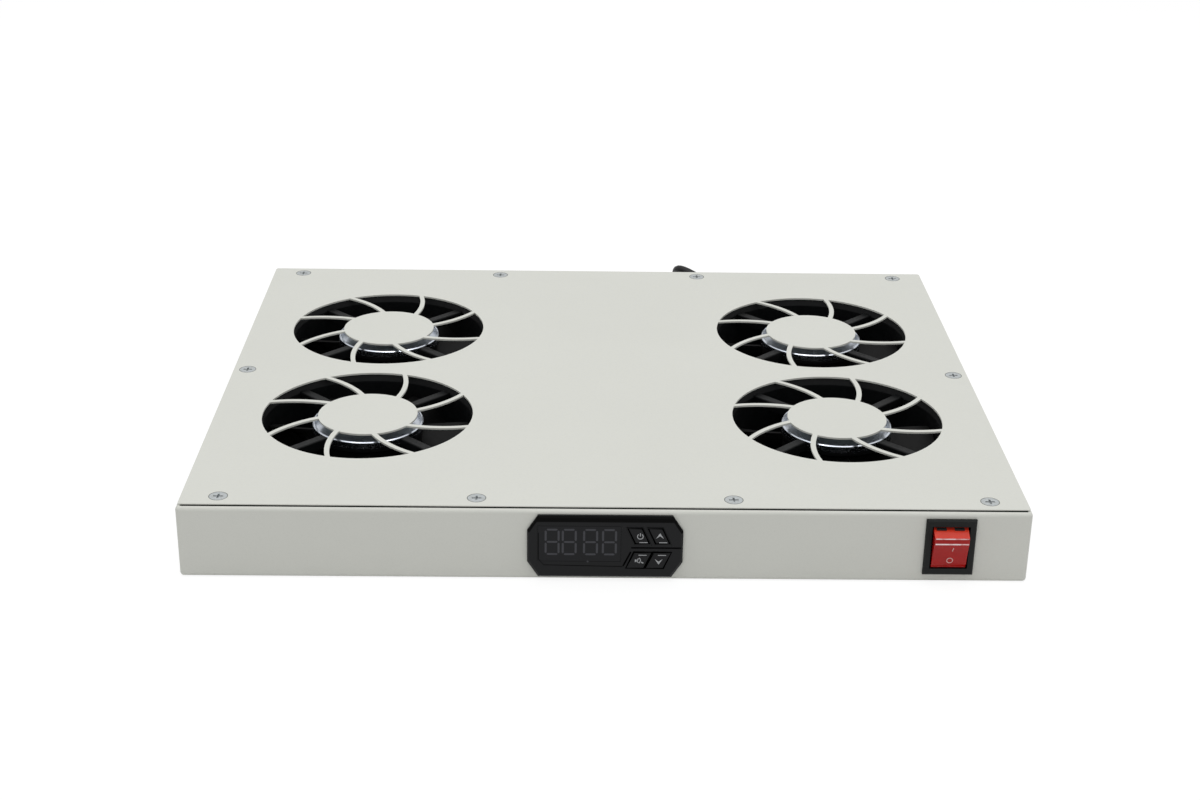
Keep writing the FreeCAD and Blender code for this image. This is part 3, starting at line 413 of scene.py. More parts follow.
def ink(name, colour):
    """Pad-printed ink: matt, worn a little thin in places."""
    return finish(
        name, colour, 0.6,
        tints=[((0.6, 3.0), 0.45, 0.7, 0.35, "#6F7072")],
        gloss=((1.0, 2.0), 0.5, 0.7),
    )


def segment_diffuser(colour):
    """Unlit segments behind the window: faint grey bars."""
    return finish(
        "segment_diffuser", colour, 0.5,
        tints=[((2.0, 2.0), 0.4, 0.7, 0.6, "#292A31")],
    )


# ---------------------------------------------------------------- mesh helpers
def new_object(name, mesh_or_bmesh, material):
    """A named object in the scene, from a mesh or from a bmesh that it uses up."""
    if isinstance(mesh_or_bmesh, bmesh.types.BMesh):
        mesh = bpy.data.meshes.new(name)
        bmesh.ops.recalc_face_normals(mesh_or_bmesh, faces=mesh_or_bmesh.faces)
        mesh_or_bmesh.to_mesh(mesh)
        mesh_or_bmesh.free()
    else:
        mesh = mesh_or_bmesh
    obj = bpy.data.objects.new(name, mesh)
    bpy.context.scene.collection.objects.link(obj)
    obj.data.materials.clear()
    obj.data.materials.append(material)
    return obj


def band(points, width, closed=False):
    """The two sides of a flat band that follows points in a plane."""
    count = len(points)
    left, right = [], []
    for k, (x, z) in enumerate(points):
        before = points[k - 1] if k or closed else points[k]
        after = points[(k + 1) % count] if k < count - 1 or closed else points[k]
        dx, dz = after[0] - before[0], after[1] - before[1]
        length = math.hypot(dx, dz)
        nx, nz = -dz / length * width / 2, dx / length * width / 2
        left.append((x + nx, z + nz))
        right.append((x - nx, z - nz))
    return left, right


class Flats:
    """Thin flat shapes on a face, each a little proud of it."""

    def __init__(self, place, thick, bm=None):
        self.bm = bmesh.new() if bm is None else bm
        self.place = place
        self.thick = thick

    def polygon(self, points):
        """A plate with these corners."""
        faces = []
        for height in (0.0, self.thick):
            verts = [self.bm.verts.new(self.place(x, z, height)) for x, z in points]
            faces.append(self.bm.faces.new(verts).verts[:])
        low, high = faces
        for k in range(len(points)):
            n = (k + 1) % len(points)
            self.bm.faces.new((low[k], low[n], high[n], high[k]))

    def line(self, points, width, closed=False):
        """A stroke of a width along these points."""
        left, right = band(points, width, closed)
        count = len(points)
        for k in range(count if closed else count - 1):
            n = (k + 1) % count
            self.polygon([left[k], left[n], right[n], right[k]])

    def object(self, name, material):
        """All the shapes as one object."""
        return new_object(name, self.bm, material)


def arc_points(x, z, radius, start, end, count):
    """Points on an arc, from one angle to another in degrees."""
    return [
        (x + radius * math.cos(math.radians(start + (end - start) * k / count)),
         z + radius * math.sin(math.radians(start + (end - start) * k / count)))
        for k in range(count + 1)
    ]


# ---------------------------------------------------------------- the mains lead
def hank_points(entry, run, inner, diameter):
    """The folded lead: two columns wound inwards on the floor and outwards on top of them."""
    outer = inner + diameter
    middle_x, middle_y = entry.x - run / 2, entry.y - outer
    strap_lift = 1.4 * MM
    half_strap = 6 * MM
    low, high = diameter / 2, diameter * 1.5
    tracks = [(outer, low), (inner, low), (inner, high), (outer, high)]
    waist = {outer: 1.5 * diameter, inner: 0.5 * diameter}
    # Each fold goes this far round to both sides, in chords whose corners stand out to keep its size.
    spread = math.radians(106.5)
    steps = 7
    bulge = 1 / math.cos(spread / steps)
    # Between which shares of a fold the lead changes over to its next track.
    changes = ((0.67, 1.0), (0.34, 0.66), (0.0, 0.33))
    points = []

    def through_strap(radius, z, side):
        """Two points where a track is gathered by the strap."""
        for x in (-side * half_strap, side * half_strap):
            points.append(Vector((middle_x + x, middle_y - side * waist[radius], z + strap_lift)))

    def fold(centre, start, reach_and_height):
        """One end of the hank, with the reach and height for each share of the fold."""
        for k in range(steps + 1):
            angle = start + 2 * spread * k / steps
            reach, z = reach_and_height(k / steps)
            points.append(Vector((centre + reach * bulge * math.cos(angle),
                                  middle_y + reach * bulge * math.sin(angle), z)))

    for turn, (radius, z) in enumerate(tracks):
        through_strap(radius, z, -1)
        fold(middle_x - run / 2, math.pi - spread, lambda share: (radius, z))
        through_strap(radius, z, 1)
        if turn == len(changes):
            break
        next_radius, next_z = tracks[turn + 1]
        start, end = changes[turn]

        def change(share):
            """From this track to the next."""
            done = min(max((share - start) / (end - start), 0), 1)
            return radius + (next_radius - radius) * done, z + (next_z - z) * done

        fold(middle_x + run / 2, -spread, change)
    return points


class FANTRAY_OT_mains_lead(bpy.types.Operator):
    """The mains lead from its sleeve through the hank to the plug, with the strap round the hank"""

    bl_idname = "fantray.mains_lead"
    bl_label = "Mains lead"

    def execute(self, context):
        colours, sizes, _ = settings()
        sheath = cable_sheath("pvc_cable_sheath", colours.cable, "#1E1F21")
        start = [Vector(p) * MM for p in CORD_ROUTE]
        end = [Vector(p) * MM for p in CORD_END_ROUTE]
        coil = hank_points(start[-1], sizes.hank_run, sizes.hank_turn, sizes.cord_diameter)
        outer = sizes.hank_turn + sizes.cord_diameter
        side = start[-1].y - outer - outer * 1.04
        turn_out = [Vector((start[-1].x - 7 * MM, side, end[0].z))]
        points = start + coil + turn_out + end[1:]
        curve = bpy.data.curves.new("mains_lead", "CURVE")
        curve.dimensions = "3D"
        curve.bevel_depth = sizes.cord_diameter / 2
        curve.bevel_resolution = 5
        curve.use_fill_caps = True
        curve.resolution_u = 6
        spline = curve.splines.new("NURBS")
        spline.points.add(len(points) - 1)
        for point, place in zip(spline.points, points):
            point.co = (*place, 1.0)
        spline.order_u = 3
        spline.use_endpoint_u = True
        lead = bpy.data.objects.new("mains_lead", curve)
        context.scene.collection.objects.link(lead)
        curve.materials.append(sheath)
        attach(lead, "chassis")
        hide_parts("mains_cord", "cord_hank")
        strap = self.strap(sizes, start[-1])
        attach(strap, "chassis")
        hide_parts("cord_tie")
        ribs = self.plug_ribs(sheath)
        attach(ribs, "chassis")
        return {"FINISHED"}

    def plug_ribs(self, material):
        """Grip ribs moulded across the upper face of the plug."""
        low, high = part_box("plug_body")
        middle_y, reach = (low.y + high.y) / 2, 9.5 * MM
        first, pitch, count = 18.0, 3.6, 6
        bm = bmesh.new()
        for k in range(count):
            x = low.x + (first + pitch * k) * MM
            ring = []
            for dx, dz, inset in ((-0.9, -0.3, 0.0), (-0.5, 0.55, 0.6), (0.5, 0.55, 0.6), (0.9, -0.3, 0.0)):
                half = reach - inset * MM
                ring.append([
                    bm.verts.new((x + dx * MM, middle_y + side * half, high.z + dz * MM)) for side in (-1, 1)
                ])
            for a, b in zip(ring, ring[1:]):
                bm.faces.new((a[0], a[1], b[1], b[0]))
            for side in (0, 1):
                bm.faces.new([pair[side] for pair in ring])
        return new_object("plug_ribs", bm, material)

    def strap(self, sizes, entry):
        """A woven strap, closed on itself with a lap on top."""
        d = sizes.cord_diameter
        half, height, thick = 2 * d + 0.2 * MM, 2 * d + 0.3 * MM, 1.2 * MM
        middle = Vector((entry.x - sizes.hank_run / 2, entry.y - sizes.hank_turn - d, 0.1 * MM))
        corner = 2.6 * MM
        outline = []
        for cx, cz, start in ((half - corner, height - corner, 0), (-half + corner, height - corner, 90),
                              (-half + corner, corner, 180), (half - corner, corner, 270)):
            for k in range(7):
                a = math.radians(start + 15 * k)
                outline.append(((cx, cz), (math.cos(a), math.sin(a))))
        bm = bmesh.new()
        rings = []
        for x, edge in ((-6.0, 0.35), (-5.4, 0.0), (0.0, 0.0), (5.4, 0.0), (6.0, 0.35)):
            for outside in (True, False):
                ring = []
                for (cx, cz), (ux, uz) in outline:
                    reach = corner + (thick - edge * MM if outside else edge * MM)
                    place = Vector((x * MM, cx + ux * reach, thick + cz + uz * reach))
                    ring.append(bm.verts.new(middle + place))
                rings.append(ring)
        outer, inner = rings[0::2], rings[1::2]
        for sheets in (outer, inner):
            for a, b in zip(sheets, sheets[1:]):
                for k in range(len(a)):
                    n = (k + 1) % len(a)
                    bm.faces.new((a[k], a[n], b[n], b[k]))
        for a, b in ((outer[0], inner[0]), (outer[-1], inner[-1])):
            for k in range(len(a)):
                n = (k + 1) % len(a)
                bm.faces.new((a[k], a[n], b[n], b[k]))
        lap, lap_low = [], height + 2 * thick - 0.15 * MM
        for x in (-5.6, 5.6):
            for y, z in ((-7.5, 0.0), (-7.3, 0.9), (6.3, 0.9), (6.8, 0.0)):
                lap.append(bm.verts.new(middle + Vector((x * MM, y * MM, lap_low + z * MM))))
        for k in range(3):
            bm.faces.new((lap[k], lap[k + 1], lap[k + 5], lap[k + 4]))
        bm.faces.new(lap[:4])
        bm.faces.new(lap[4:])
        bm.faces.new((lap[0], lap[3], lap[7], lap[4]))
        strap = new_object("cord_strap", bm, hook_and_loop())
        shade(strap)
        return strap


def shade(obj, angle=35):
    """Smooth faces, with the sharper edges kept."""
    obj.data.shade_smooth()
    obj.data.set_sharp_from_angle(angle=math.radians(angle))


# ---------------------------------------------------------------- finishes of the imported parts
class FANTRAY_OT_finishes(bpy.types.Operator):
    """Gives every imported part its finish"""

    bl_idname = "fantray.finishes"
    bl_label = "Finishes"

    def execute(self, context):
        colours, sizes, _ = settings()
        coat = powder_coated_steel(colours.powder_coat, sizes.grain)
        zinc = zinc_plated_steel(colours.zinc)
        casting = painted_aluminium_casting(colours.casting)
        cup = bright_plated_steel(colours.motor_cup)
        ground = ground_steel()
        core = motor_laminations()
        impeller = moulded("glass_filled_pbt", colours.fan_plastic, "#090A0A", 0.5, Specular_IOR_Level=0.12)
        front = moulded("abs_controller_front", colours.controller, "#0F1012", 0.42, Specular_IOR_Level=0.19)
        window = smoked_acrylic(colours.window)
        display = moulded("display_epoxy", "#0B0B0D", "#101114", 0.5, Specular_IOR_Level=0.2)
        nylon = moulded("natural_nylon", "#C9C5B8", "#BDB8A8", 0.5)
        green = moulded("green_terminal_nylon", "#2C5B3C", "#35694A", 0.45)
        housing = moulded("nylon_switch_housing", colours.switch, "#0F1311", 0.4, Specular_IOR_Level=0.2)
        red = translucent_red(colours.rocker)
        bush = moulded("nylon_strain_relief", "#151616", "#1D1E1F", 0.5)
        plug = cable_sheath("pvc_plug_moulding", colours.cable, "#202123", 0.5)
        wiring = cable_sheath("pvc_wire_sleeve", "#18191A", "#242527", 0.5)
        plan = {
            "base_tray": coat, "top_cover": coat, "cover_screws": zinc, "weld_nuts": zinc,
            "fan_studs": zinc, "fan_nuts": zinc, "earth_stud": zinc, "earth_nut": zinc,
            "controller_front": front, "controller_housing": front, "controller_window": window,
            "controller_display": display, "controller_board": green_circuit_board(),
            "controller_clips": nylon, "controller_terminals": green, "switch_housing": housing,
            "switch_rocker": red, "switch_tabs": drawn_brass(), "terminal_block": nylon,
            "inside_wiring": wiring, "inner_lead": wiring, "temperature_probe": ground,
            "probe_clip": nylon, "strain_relief": bush, "mains_cord": plug, "cord_hank": plug,
            "cord_tie": plug, "plug_body": plug,
        }
        plan["plug_pins"] = plan["switch_tabs"]
        for key in KEY_NAMES:
            plan["key_" + key] = front
        for place in FAN_PLACES:
            plan["fan_frame_" + place] = casting
            plan["fan_motor_cup_" + place] = cup
            plan["fan_bearings_" + place] = ground
            plan["fan_shaft_" + place] = ground
            plan["fan_stator_" + place] = core
            plan["fan_impeller_" + place] = impeller
        missing = sorted(set(NODES) - set(plan))
        if missing:
            raise RuntimeError(f"no finish for {missing}")
        for name, node in NODES.items():
            node.data.materials.clear()
            node.data.materials.append(plan[name])
        return {"FINISHED"}


class FANTRAY_OT_cover(bpy.types.Operator):
    """The cover with its front edge a little off the tray, a painted shadow in the gap under it, and painted
    shade rings round the screw heads
    """

    bl_idname = "fantray.cover"
    bl_label = "Cover"

    def execute(self, context):
        _, sizes, _ = settings()
        source = NODES["top_cover"]
        low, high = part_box("top_cover")
        mesh = source.data.copy()
        for vertex in mesh.vertices:
            if vertex.co.y < low.y + 0.2 * MM and vertex.co.z < low.z + 0.2 * MM:
                vertex.co.z += sizes.cover_gap
        cover = new_object("cover_plate", mesh, source.data.materials[0])
        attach(cover, "chassis")
        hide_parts("top_cover")
        # Painted shadow in the gap under the cover's front edge.
        self.joint(low, high, sizes.cover_gap)
        # Painted shade round the screw heads.
        self.screw_ring_painted_shade(high.z)
        return {"FINISHED"}

    def screw_ring_painted_shade(self, face):
        """Painted shade: a grey ring round each screw's head, for the shaded edge of its countersink."""
        _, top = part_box("cover_screws")
        heads, apart, radius = [], 12 * MM, 4.7
        for vertex in NODES["cover_screws"].data.vertices:
            if vertex.co.z < top.z - 0.05 * MM:
                continue
            for head in heads:
                if (head[0] - vertex.co).length < apart:
                    head.append(vertex.co.copy())
                    break
            else:
                heads.append([vertex.co.copy()])
        flats = Flats(lambda x, y, h: Vector((x * MM, y * MM, face + h * MM)), 0.02)
        for head in heads:
            x, y = ((min(p[k] for p in head) + max(p[k] for p in head)) / 2 / MM for k in (0, 1))
            flats.line(arc_points(x, y, radius, 0, 352.5, 47), 0.4, closed=True)
        shade_grey = moulded("countersink_painted_shade", "#6F736F", "#888B86", 0.7, Specular_IOR_Level=0.2)
        shade_rings = flats.object("screw_ring_painted_shade", shade_grey)
        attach(shade_rings, "chassis")

    def joint(self, low, high, gap):
        """Painted shadow along the cover's front edge: a dark strip on the tray and a dark back in the gap.
        """
        corner, front, depth = 1.5, -0.6, 0.35
        left, right = low.x / MM + corner, high.x / MM - corner
        floor = Flats(lambda x, y, h: Vector((x * MM, low.y + y * MM, low.z + h * MM)), 0.03)
        floor.polygon([(left, front), (right, front), (right, depth), (left, depth)])
        back = Flats(
            lambda x, z, h: Vector((x * MM, low.y + (depth - h) * MM, low.z + z * MM)), 0.05, floor.bm
        )
        back.polygon([(left, 0.0), (right, 0.0), (right, gap / MM), (left, gap / MM)])
        shade_dark = moulded("joint_painted_shadow", "#1A1A18", "#242422", 0.9, Specular_IOR_Level=0.1)
        joint = floor.object("cover_gap_painted_shadow", shade_dark)
        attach(joint, "chassis")


# ---------------------------------------------------------------- controller markings
def segment(flats, x, z, length, upright, width):
    """One segment of a digit, with pointed ends."""
    half, tip = length / 2, width / 2
    inner = half - tip
    points = [(-half, 0), (-inner, tip), (inner, tip), (half, 0), (inner, -tip), (-inner, -tip)]
    if upright:
        points = [(b, a) for a, b in points]
    flats.polygon([(x + a, z + b) for a, b in points])


class FANTRAY_OT_controller_marks(bpy.types.Operator):
    """The controller's unlit digits, painted shadow in its moulded grooves and round its keys, painted shade
    along its upper edge, and the symbols on its keys
    """

    bl_idname = "fantray.controller_marks"
    bl_label = "Controller markings"

    def execute(self, context):
        colours, _, _ = settings()
        self.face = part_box("controller_front")[0].y
        self.digits(segment_diffuser(colours.segments))
        # Painted shadow in the grooves and round the keys, and painted shade along the upper edge, in darker
        # blacks.
        shade_black = moulded("groove_shadow", "#020202", "#040404", 0.9, Specular_IOR_Level=0.0)
        self.grooves(shade_black)
        self.key_painted_shadow_rims(shade_black)
        self.upper_painted_shade(moulded("abs_upper_painted_shade", "#040404", "#070707", 0.5, Specular_IOR_Level=0.05))
        self.key_symbols(ink("key_print", colours.print_ink))
        return {"FINISHED"}

    def on_face(self, thick, face=None):
        """Flat shapes on the controller's front, or on another upright face."""
        y = self.face if face is None else face
        return Flats(lambda x, z, h: Vector((x * MM, y - h * MM, z * MM)), thick)

    def upper_painted_shade(self, material):
        """Painted shade on the moulding's upper edge and on a brow band under it: a darker, duller copy of
        the moulding's black.
        """
        _, high = (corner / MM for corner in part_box("controller_front"))
        edge, corner, brow_height, spread = 0.9, 5.5, 2.3, 1.5
        top, reach = high.z - edge, high.x - edge - corner
        flats = self.on_face(0.03)
        flats.polygon([(-reach, top), (reach, top), (reach + spread, top - brow_height),
                       (-reach - spread, top - brow_height)])
        brow = flats.object("front_brow_painted_shade", material)
        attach(brow, "chassis")
        moulding = NODES["controller_front"].data
        moulding.materials.append(material)
        # Painted shade: the moulding's faces that turn up and out take the darker copy.
        for face in moulding.polygons:
            if face.normal.z > 0.3 and face.normal.y < -0.3:
                face.material_index = 1

    def digits(self, material):
        """Four unlit digits of seven segments, and a point below them."""
        flats = self.on_face(0.04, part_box("controller_window")[0].y)
        middle = DIGIT_LOW + DIGIT_HEIGHT / 2
        across, upright = DIGIT_WIDTH - SEGMENT_GAP, DIGIT_HEIGHT / 2 - SEGMENT_GAP
        for left in DIGIT_LEFTS:
            for z in (DIGIT_LOW, middle, DIGIT_LOW + DIGIT_HEIGHT):
                segment(flats, left + DIGIT_WIDTH / 2, z, across, False, SEGMENT_WIDTH)
            for z in (DIGIT_LOW + DIGIT_HEIGHT / 4, middle + DIGIT_HEIGHT / 4):
                for x in (left, left + DIGIT_WIDTH):
                    segment(flats, x, z, upright, True, SEGMENT_WIDTH)
        flats.polygon(arc_points(-8.7, 11.4, 0.5, 0, 330, 11))
        digits = flats.object("display_segments", material)
        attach(digits, "chassis")

    def grooves(self, material):
        """Painted shadow: dark lines for the groove between the key rows, the one beside them, the window's
        step and rims round the two lower keys.
        """
        flats = self.on_face(0.03)
        flats.line([(13.1, 19.3), (38.4, 19.3)], 0.75)
        flats.line([(13.0, 17.0), (9.2, 8.9)], 0.8)
        flats.line([(-33.6, 27.5), (-33.6, 12.6), (-30.9, 9.3), (9.0, 8.6)], 0.3)
        for key in ("mute", "down"):
            flats.line(self.lower_key_outline(key, 0.5), 0.9, closed=True)
        grooves = flats.object("front_groove_painted_shadows", material)
        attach(grooves, "chassis")

    def lower_key_outline(self, key, clear):
        """The four corners of a lower key, a little outside it."""
        low, high = (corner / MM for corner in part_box("key_" + key))
        left, right = low.x - clear, high.x + clear
        top, bottom = high.z + clear, low.z - clear
        return [(left - LOWER_LEAN, top), (right, top), (right + LOWER_LEAN, bottom), (left, bottom)]

    def key_symbols(self, material):
        """A symbol on each key, with a short bar over or under it."""
        marks = {
            "power": ((17.6, 25.9), 22.5, self.power_symbol),
            "up": ((27.5, 26.1), 22.5, self.chevron_up),
            "mute": ((17.3, 12.1), 15.3, self.mute_symbol),
            "down": ((27.1, 11.8), 15.3, self.chevron_down),
        }
        for key, ((x, z), bar_z, draw) in marks.items():
            flats = self.on_face(0.03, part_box("key_" + key)[0].y)
            draw(flats, x, z)
            flats.line([(x - 0.4, bar_z), (x + 3.7, bar_z)], 0.4)
            symbol = flats.object("symbol_" + key, material)
            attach(symbol, "key_" + key)

    def key_painted_shadow_rims(self, material):
        """Painted shadow: a dark rim round the two upper keys, which stops short of their lower edge."""
        for key in ("power", "up"):
            low, high = (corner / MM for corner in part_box("key_" + key))
            rim = self.on_face(0.02, low.y * MM)
            slope, inset = UPPER_LEAN / (high.z - low.z), 0.55
            top, bottom = high.z - 0.5, low.z + 1.0
            left = [(low.x + slope * (high.z - z) + inset, z) for z in (bottom, top)]
            right = [(high.x - slope * (z - low.z) - inset, z) for z in (top, bottom)]
            rim.line([left[1], *right, left[0]], 0.9, closed=True)
            shaded = rim.object("painted_key_shadow_" + key, material)
            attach(shaded, "key_" + key)

    def power_symbol(self, flats, x, z):
        """An open ring with a stroke in its gap."""
        flats.line(arc_points(x, z, 1.45, 125, 415, 16), 0.42)
        flats.line([(x, z + 0.1), (x, z + 1.9)], 0.42)

    def chevron_up(self, flats, x, z):
        """A solid arrowhead that points up."""
        flats.polygon([(x - 2.0, z - 1.4), (x, z + 1.7), (x + 2.0, z - 1.4), (x, z + 0.1)])

    def chevron_down(self, flats, x, z):
        """A solid arrowhead that points down."""
        flats.polygon([(x - 2.0, z + 1.4), (x, z - 1.7), (x + 2.0, z + 1.4), (x, z - 0.1)])

    def mute_symbol(self, flats, x, z):
        """A bell on its side with a stroke after it."""
        flats.polygon([(x - 2.2, z - 0.7), (x - 1.3, z - 0.5), (x - 1.3, z + 0.6), (x - 2.2, z + 0.8)])
        loop = ((-0.9, -0.7), (-0.7, 1.0), (0.2, 1.6), (0.7, 0.2), (0.1, -1.2))
        flats.line([(x + dx, z + dz) for dx, dz in loop], 0.45, closed=True)
        flats.line([(x + 0.9, z - 0.7), (x + 2.1, z - 1.3)], 0.6)


# ---------------------------------------------------------------- rocker
class FANTRAY_OT_rocker(bpy.types.Operator):
    """The moulded rocker with its rounded ridges, painted highlights along them, painted light on its upper
    end, its ON and OFF marks and painted shadow for its slots
    """

    bl_idname = "fantray.rocker"
    bl_label = "Rocker"

    def at(self, x, up, out):
        """A place on the rocker, in metres, from its own upright and outward distances."""
        y = -out * math.cos(ROCKER_TILT) - up * math.sin(ROCKER_TILT)
        z = -out * math.sin(ROCKER_TILT) + up * math.cos(ROCKER_TILT)
        return (ROCKER_AXIS + Vector((x, y, z))) * MM

    def execute(self, context):
        lower = [(-up, out) for up, out in reversed(ROCKER_OUTLINE)]
        profile = lower + [(0.0, ROCKER_MIDDLE)] + ROCKER_OUTLINE
        bm = bmesh.new()
        sides = [
            [bm.verts.new(self.at(x, up, out)) for up, out in profile] for x in (-ROCKER_HALF, ROCKER_HALF)
        ]
        for side in sides:
            bm.faces.new(side)
        count = len(profile)
        for k in range(count):
            n = (k + 1) % count
            bm.faces.new((sides[0][k], sides[0][n], sides[1][n], sides[1][k]))
        material = NODES["switch_rocker"].data.materials[0]
        rocker = new_object("rocker_moulding", bm, material)
        bevel = rocker.modifiers.new("edges", "BEVEL")
        bevel.width = 0.16 * MM
        bevel.segments = 3
        bevel.limit_method = "ANGLE"
        bevel.angle_limit = math.radians(14)
        shade(rocker, 50)
        # Painted light: the upward end faces take a brighter red copy of the rocker's material.
        rocker.data.materials.append(translucent_red("#D93A26", "translucent_red_painted_lit_end", "#C72A1C"))
        for face in rocker.data.polygons:
            if face.normal.z > 0.7 and face.normal.y < 0:
                face.material_index = 1
        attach(rocker, "rocker")
        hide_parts("switch_rocker")
        self.ridges()
        self.marks()
        self.slots()
        return {"FINISHED"}

    def ridges(self):
        """Painted highlights: pale lines along the two ridges at the rocker's upper end."""
        reach, steps = 8.4, 10
        bm = bmesh.new()
        for up, out, width in ((6.7, 8.38, 0.75), (9.6, 7.62, 0.6)):
            flats = Flats(lambda x, up, h, out=out: self.at(x, up, out + h), 0.12, bm)
            flats.line([(-reach + 2 * reach * k / steps, up) for k in range(steps + 1)], width)
        ridge_glint = flats.object("rocker_ridge_highlights", ridge_highlight_paint())
        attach(ridge_glint, "rocker")

    def marks(self):
        """ON and OFF, on the dished face."""
        flats = Flats(lambda x, up, h: self.at(x, up, DISH_OUT + DISH_RISE * up * up + h), 0.1)
        flats.line([(0.8, 1.5), (1.2, 3.9)], 0.36)
        flats.line(arc_points(0.2, -4.6, 1.5, 0, 345, 23), 0.36, closed=True)
        marks = flats.object("rocker_marks", ink("switch_print", "#E7B9B4"))
        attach(marks, "rocker")

    def slots(self):
        """Painted shadow for the two slots in the rocker's end face: dark plates where they lie."""
        flats = Flats(lambda x, out, h: self.at(x, ROCKER_END + h, out), 0.5)
        wide, low, high = 4.9, 1.0, 2.8
        for left in (-7.4, 1.7):
            flats.polygon([(left, low), (left + wide, low), (left + wide, high), (left, high)])
        ends = flats.object("rocker_slot_painted_shadows", moulded("slot_shadow", "#060606", "#0A0A0A", 0.8))
        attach(ends, "rocker")


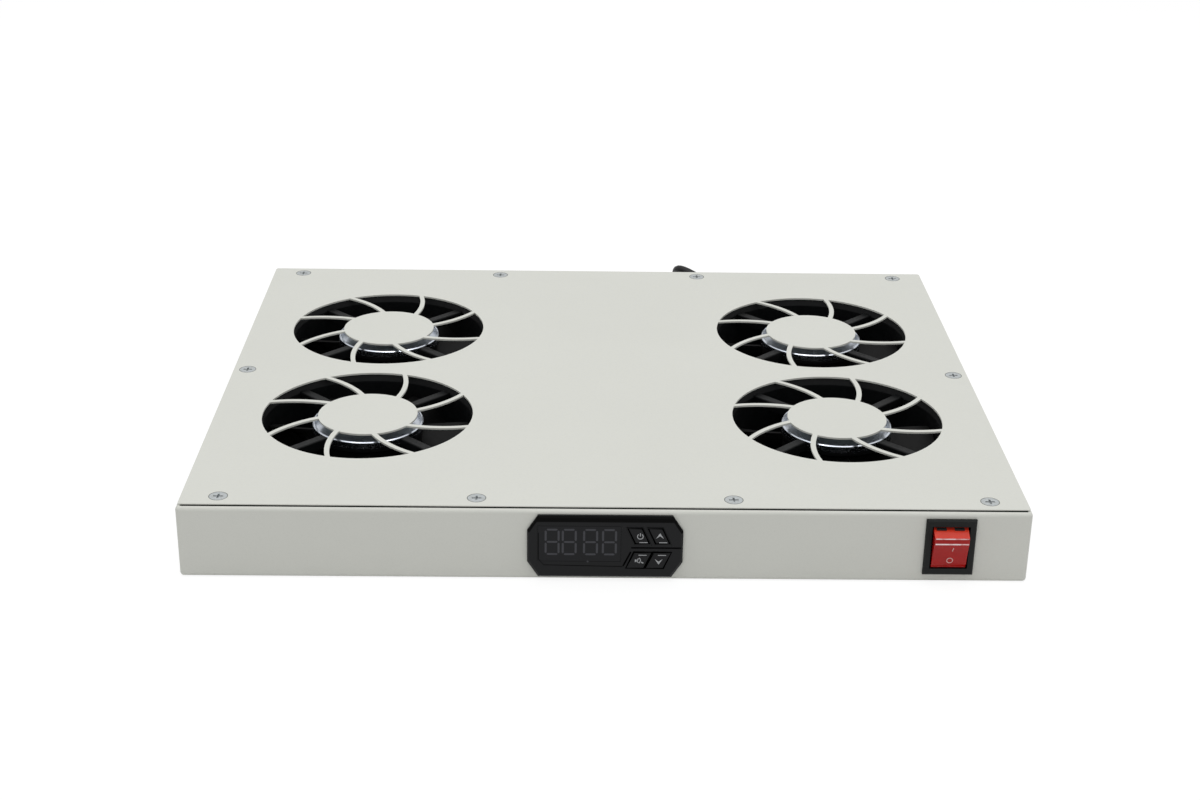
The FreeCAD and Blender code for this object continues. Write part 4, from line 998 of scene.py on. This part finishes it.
# ---------------------------------------------------------------- stage
class FANTRAY_OT_stage(bpy.types.Operator):
    """A pale floor, even studio light and the camera"""

    bl_idname = "fantray.stage"
    bl_label = "Stage"

    def execute(self, context):
        _, _, view = settings()
        scene = context.scene
        scene.view_settings.view_transform = "Standard"
        self.camera(scene, view)
        self.world(scene, view)
        self.floor(view.floor_glow)
        self.lamp("overhead_softbox", (0.0, 0.1, 1.5), (0.0, 0.0, 0.0), 2.2, 1.8, view.softbox)
        self.lamp("front_fill", (0.0, -2.0, 0.9), (0.0, 0.0, 0.05), 2.0, 1.0, view.front_fill)
        self.lamp("strip_light", (0.1, -0.5, 1.6), (0.0, -0.1, 0.0), 1.8, 0.05, view.strip)
        return {"FINISHED"}

    def camera(self, scene, view):
        """The camera, aimed by its turn to the right, its tilt and its roll."""
        yaw, pitch, roll = view.camera_turn
        ahead = Vector((math.sin(yaw) * math.cos(pitch), math.cos(yaw) * math.cos(pitch), math.sin(pitch)))
        level = Vector((math.cos(yaw), -math.sin(yaw), 0))
        rise = level.cross(ahead)
        right = level * math.cos(roll) + rise * math.sin(roll)
        up = rise * math.cos(roll) - level * math.sin(roll)
        turn = Matrix((right, up, -ahead)).transposed().to_4x4()
        data = bpy.data.cameras.new("camera")
        data.sensor_width = 36
        data.lens = view.lens
        data.clip_end = 20
        camera = bpy.data.objects.new("camera", data)
        camera.matrix_world = Matrix.Translation(view.camera_place) @ turn
        scene.collection.objects.link(camera)
        scene.camera = camera

    def seen(self, tree):
        """1 for what the camera, a mirror or glass sees."""
        path = add_node(tree, "ShaderNodeLightPath")
        first = add_node(
            tree, "ShaderNodeMath", {0: path.outputs["Is Camera Ray"], 1: path.outputs["Is Glossy Ray"]},
            operation="MAXIMUM",
        )
        return add_node(
            tree, "ShaderNodeMath", {0: first.outputs[0], 1: path.outputs["Is Transmission Ray"]},
            operation="MAXIMUM",
        ).outputs[0]

    def world(self, scene, view):
        """Even light, which looks white where the camera sees it."""
        world = bpy.data.worlds.new("studio")
        scene.world = world
        world.use_nodes = True
        tree = world.node_tree
        tree.nodes.clear()
        even = add_node(tree, "ShaderNodeBackground", {"Color": (1, 1, 1, 1), "Strength": view.ambient})
        white = add_node(tree, "ShaderNodeBackground", {"Color": (1, 1, 1, 1), "Strength": 1.0})
        self.mixed(tree, even, white, "ShaderNodeOutputWorld")

    def mixed(self, tree, light, seen, output):
        """One shader for what lights the tray, and another for what the camera sees."""
        shaders = {0: self.seen(tree), 1: light.outputs[0], 2: seen.outputs[0]}
        mix = add_node(tree, "ShaderNodeMixShader", shaders)
        add_node(tree, output, {"Surface": mix.outputs[0]})

    def clear_of_tray(self, tree):
        """0 on the floor under the tray and 1 around it: painted shade that takes the floor's glow away where
        no light gets in.
        """
        place = add_node(tree, "ShaderNodeTexCoord").outputs["Object"]
        axes = add_node(tree, "ShaderNodeSeparateXYZ", {0: place}).outputs
        _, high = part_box("base_tray")
        edges = []
        for axis, reach in (("X", high.x), ("Y", high.y)):
            distance = add_node(tree, "ShaderNodeMath", {0: axes[axis]}, operation="ABSOLUTE").outputs[0]
            edges.append(add_node(
                tree, "ShaderNodeMapRange",
                {"Value": distance, "From Min": reach - SHADE_INNER, "From Max": reach - SHADE_OUTER},
            ).outputs[0])
        return add_node(tree, "ShaderNodeMath", {0: edges[0], 1: edges[1]}, operation="MAXIMUM").outputs[0]

    def floor(self, glow_strength):
        """A pale round floor: white to the camera around the tray, but with its shadow and with painted shade
        under the tray.
        """
        bm = bmesh.new()
        bmesh.ops.create_circle(bm, cap_ends=True, segments=96, radius=FLOOR_RADIUS)
        material = bpy.data.materials.new("studio_floor")
        material.use_nodes = True
        tree = material.node_tree
        tree.nodes.clear()
        pale = add_node(tree, "ShaderNodeBsdfDiffuse", {"Color": (0.8, 0.8, 0.8, 1)})
        shadow = add_node(tree, "ShaderNodeBsdfDiffuse", {"Color": (0.2, 0.2, 0.2, 1)})
        strength = add_node(
            tree, "ShaderNodeMath", {0: self.clear_of_tray(tree), 1: glow_strength}, operation="MULTIPLY"
        )
        glow = add_node(tree, "ShaderNodeEmission", {"Color": (1, 1, 1, 1), "Strength": strength.outputs[0]})
        lit = add_node(tree, "ShaderNodeAddShader", {0: shadow.outputs[0], 1: glow.outputs[0]})
        self.mixed(tree, pale, lit, "ShaderNodeOutputMaterial")
        floor = new_object("floor", bm, material)
        floor.location.z = -FLOOR_DROP

    def lamp(self, name, place, target, width, depth, power):
        """A flat lamp that faces its target."""
        data = bpy.data.lights.new(name, "AREA")
        data.shape = "RECTANGLE"
        data.size, data.size_y = width, depth
        data.energy = power
        lamp = bpy.data.objects.new(name, data)
        lamp.location = place
        lamp.rotation_euler = (Vector(place) - Vector(target)).to_track_quat("Z", "Y").to_euler()
        bpy.context.scene.collection.objects.link(lamp)


# ---------------------------------------------------------------- panel and registration
class FANTRAY_PT_panel(bpy.types.Panel):
    """Lists the steps that dress the tray"""

    bl_idname = "FANTRAY_PT_panel"
    bl_label = "Fan tray"
    bl_space_type = "VIEW_3D"
    bl_region_type = "UI"
    bl_category = "Fan tray"

    def draw(self, context):
        for group in settings():
            box = self.layout.box()
            for name in group.__annotations__:
                box.prop(group, name)
        for operator in OPERATORS:
            self.layout.operator(operator.bl_idname)


OPERATORS = (
    FANTRAY_OT_stage,
    FANTRAY_OT_finishes,
    FANTRAY_OT_mains_lead,
    FANTRAY_OT_cover,
    FANTRAY_OT_controller_marks,
    FANTRAY_OT_rocker,
)
GROUPS = {
    "fan_tray_colours": FanTrayColours,
    "fan_tray_sizes": FanTraySizes,
    "fan_tray_view": FanTrayView,
}


def register():
    for group_name, group in GROUPS.items():
        bpy.utils.register_class(group)
        setattr(bpy.types.Scene, group_name, PointerProperty(type=group))
    for operator in OPERATORS:
        bpy.utils.register_class(operator)
    bpy.utils.register_class(FANTRAY_PT_panel)


def unregister():
    bpy.utils.unregister_class(FANTRAY_PT_panel)
    for operator in reversed(OPERATORS):
        bpy.utils.unregister_class(operator)
    for group_name, group in GROUPS.items():
        delattr(bpy.types.Scene, group_name)
        bpy.utils.unregister_class(group)


def main():
    register()
    bpy.ops.fantray.stage()
    bpy.ops.fantray.mains_lead()
    bpy.ops.fantray.finishes()
    bpy.ops.fantray.cover()
    bpy.ops.fantray.controller_marks()
    bpy.ops.fantray.rocker()


if __name__ == "__main__":
    main()
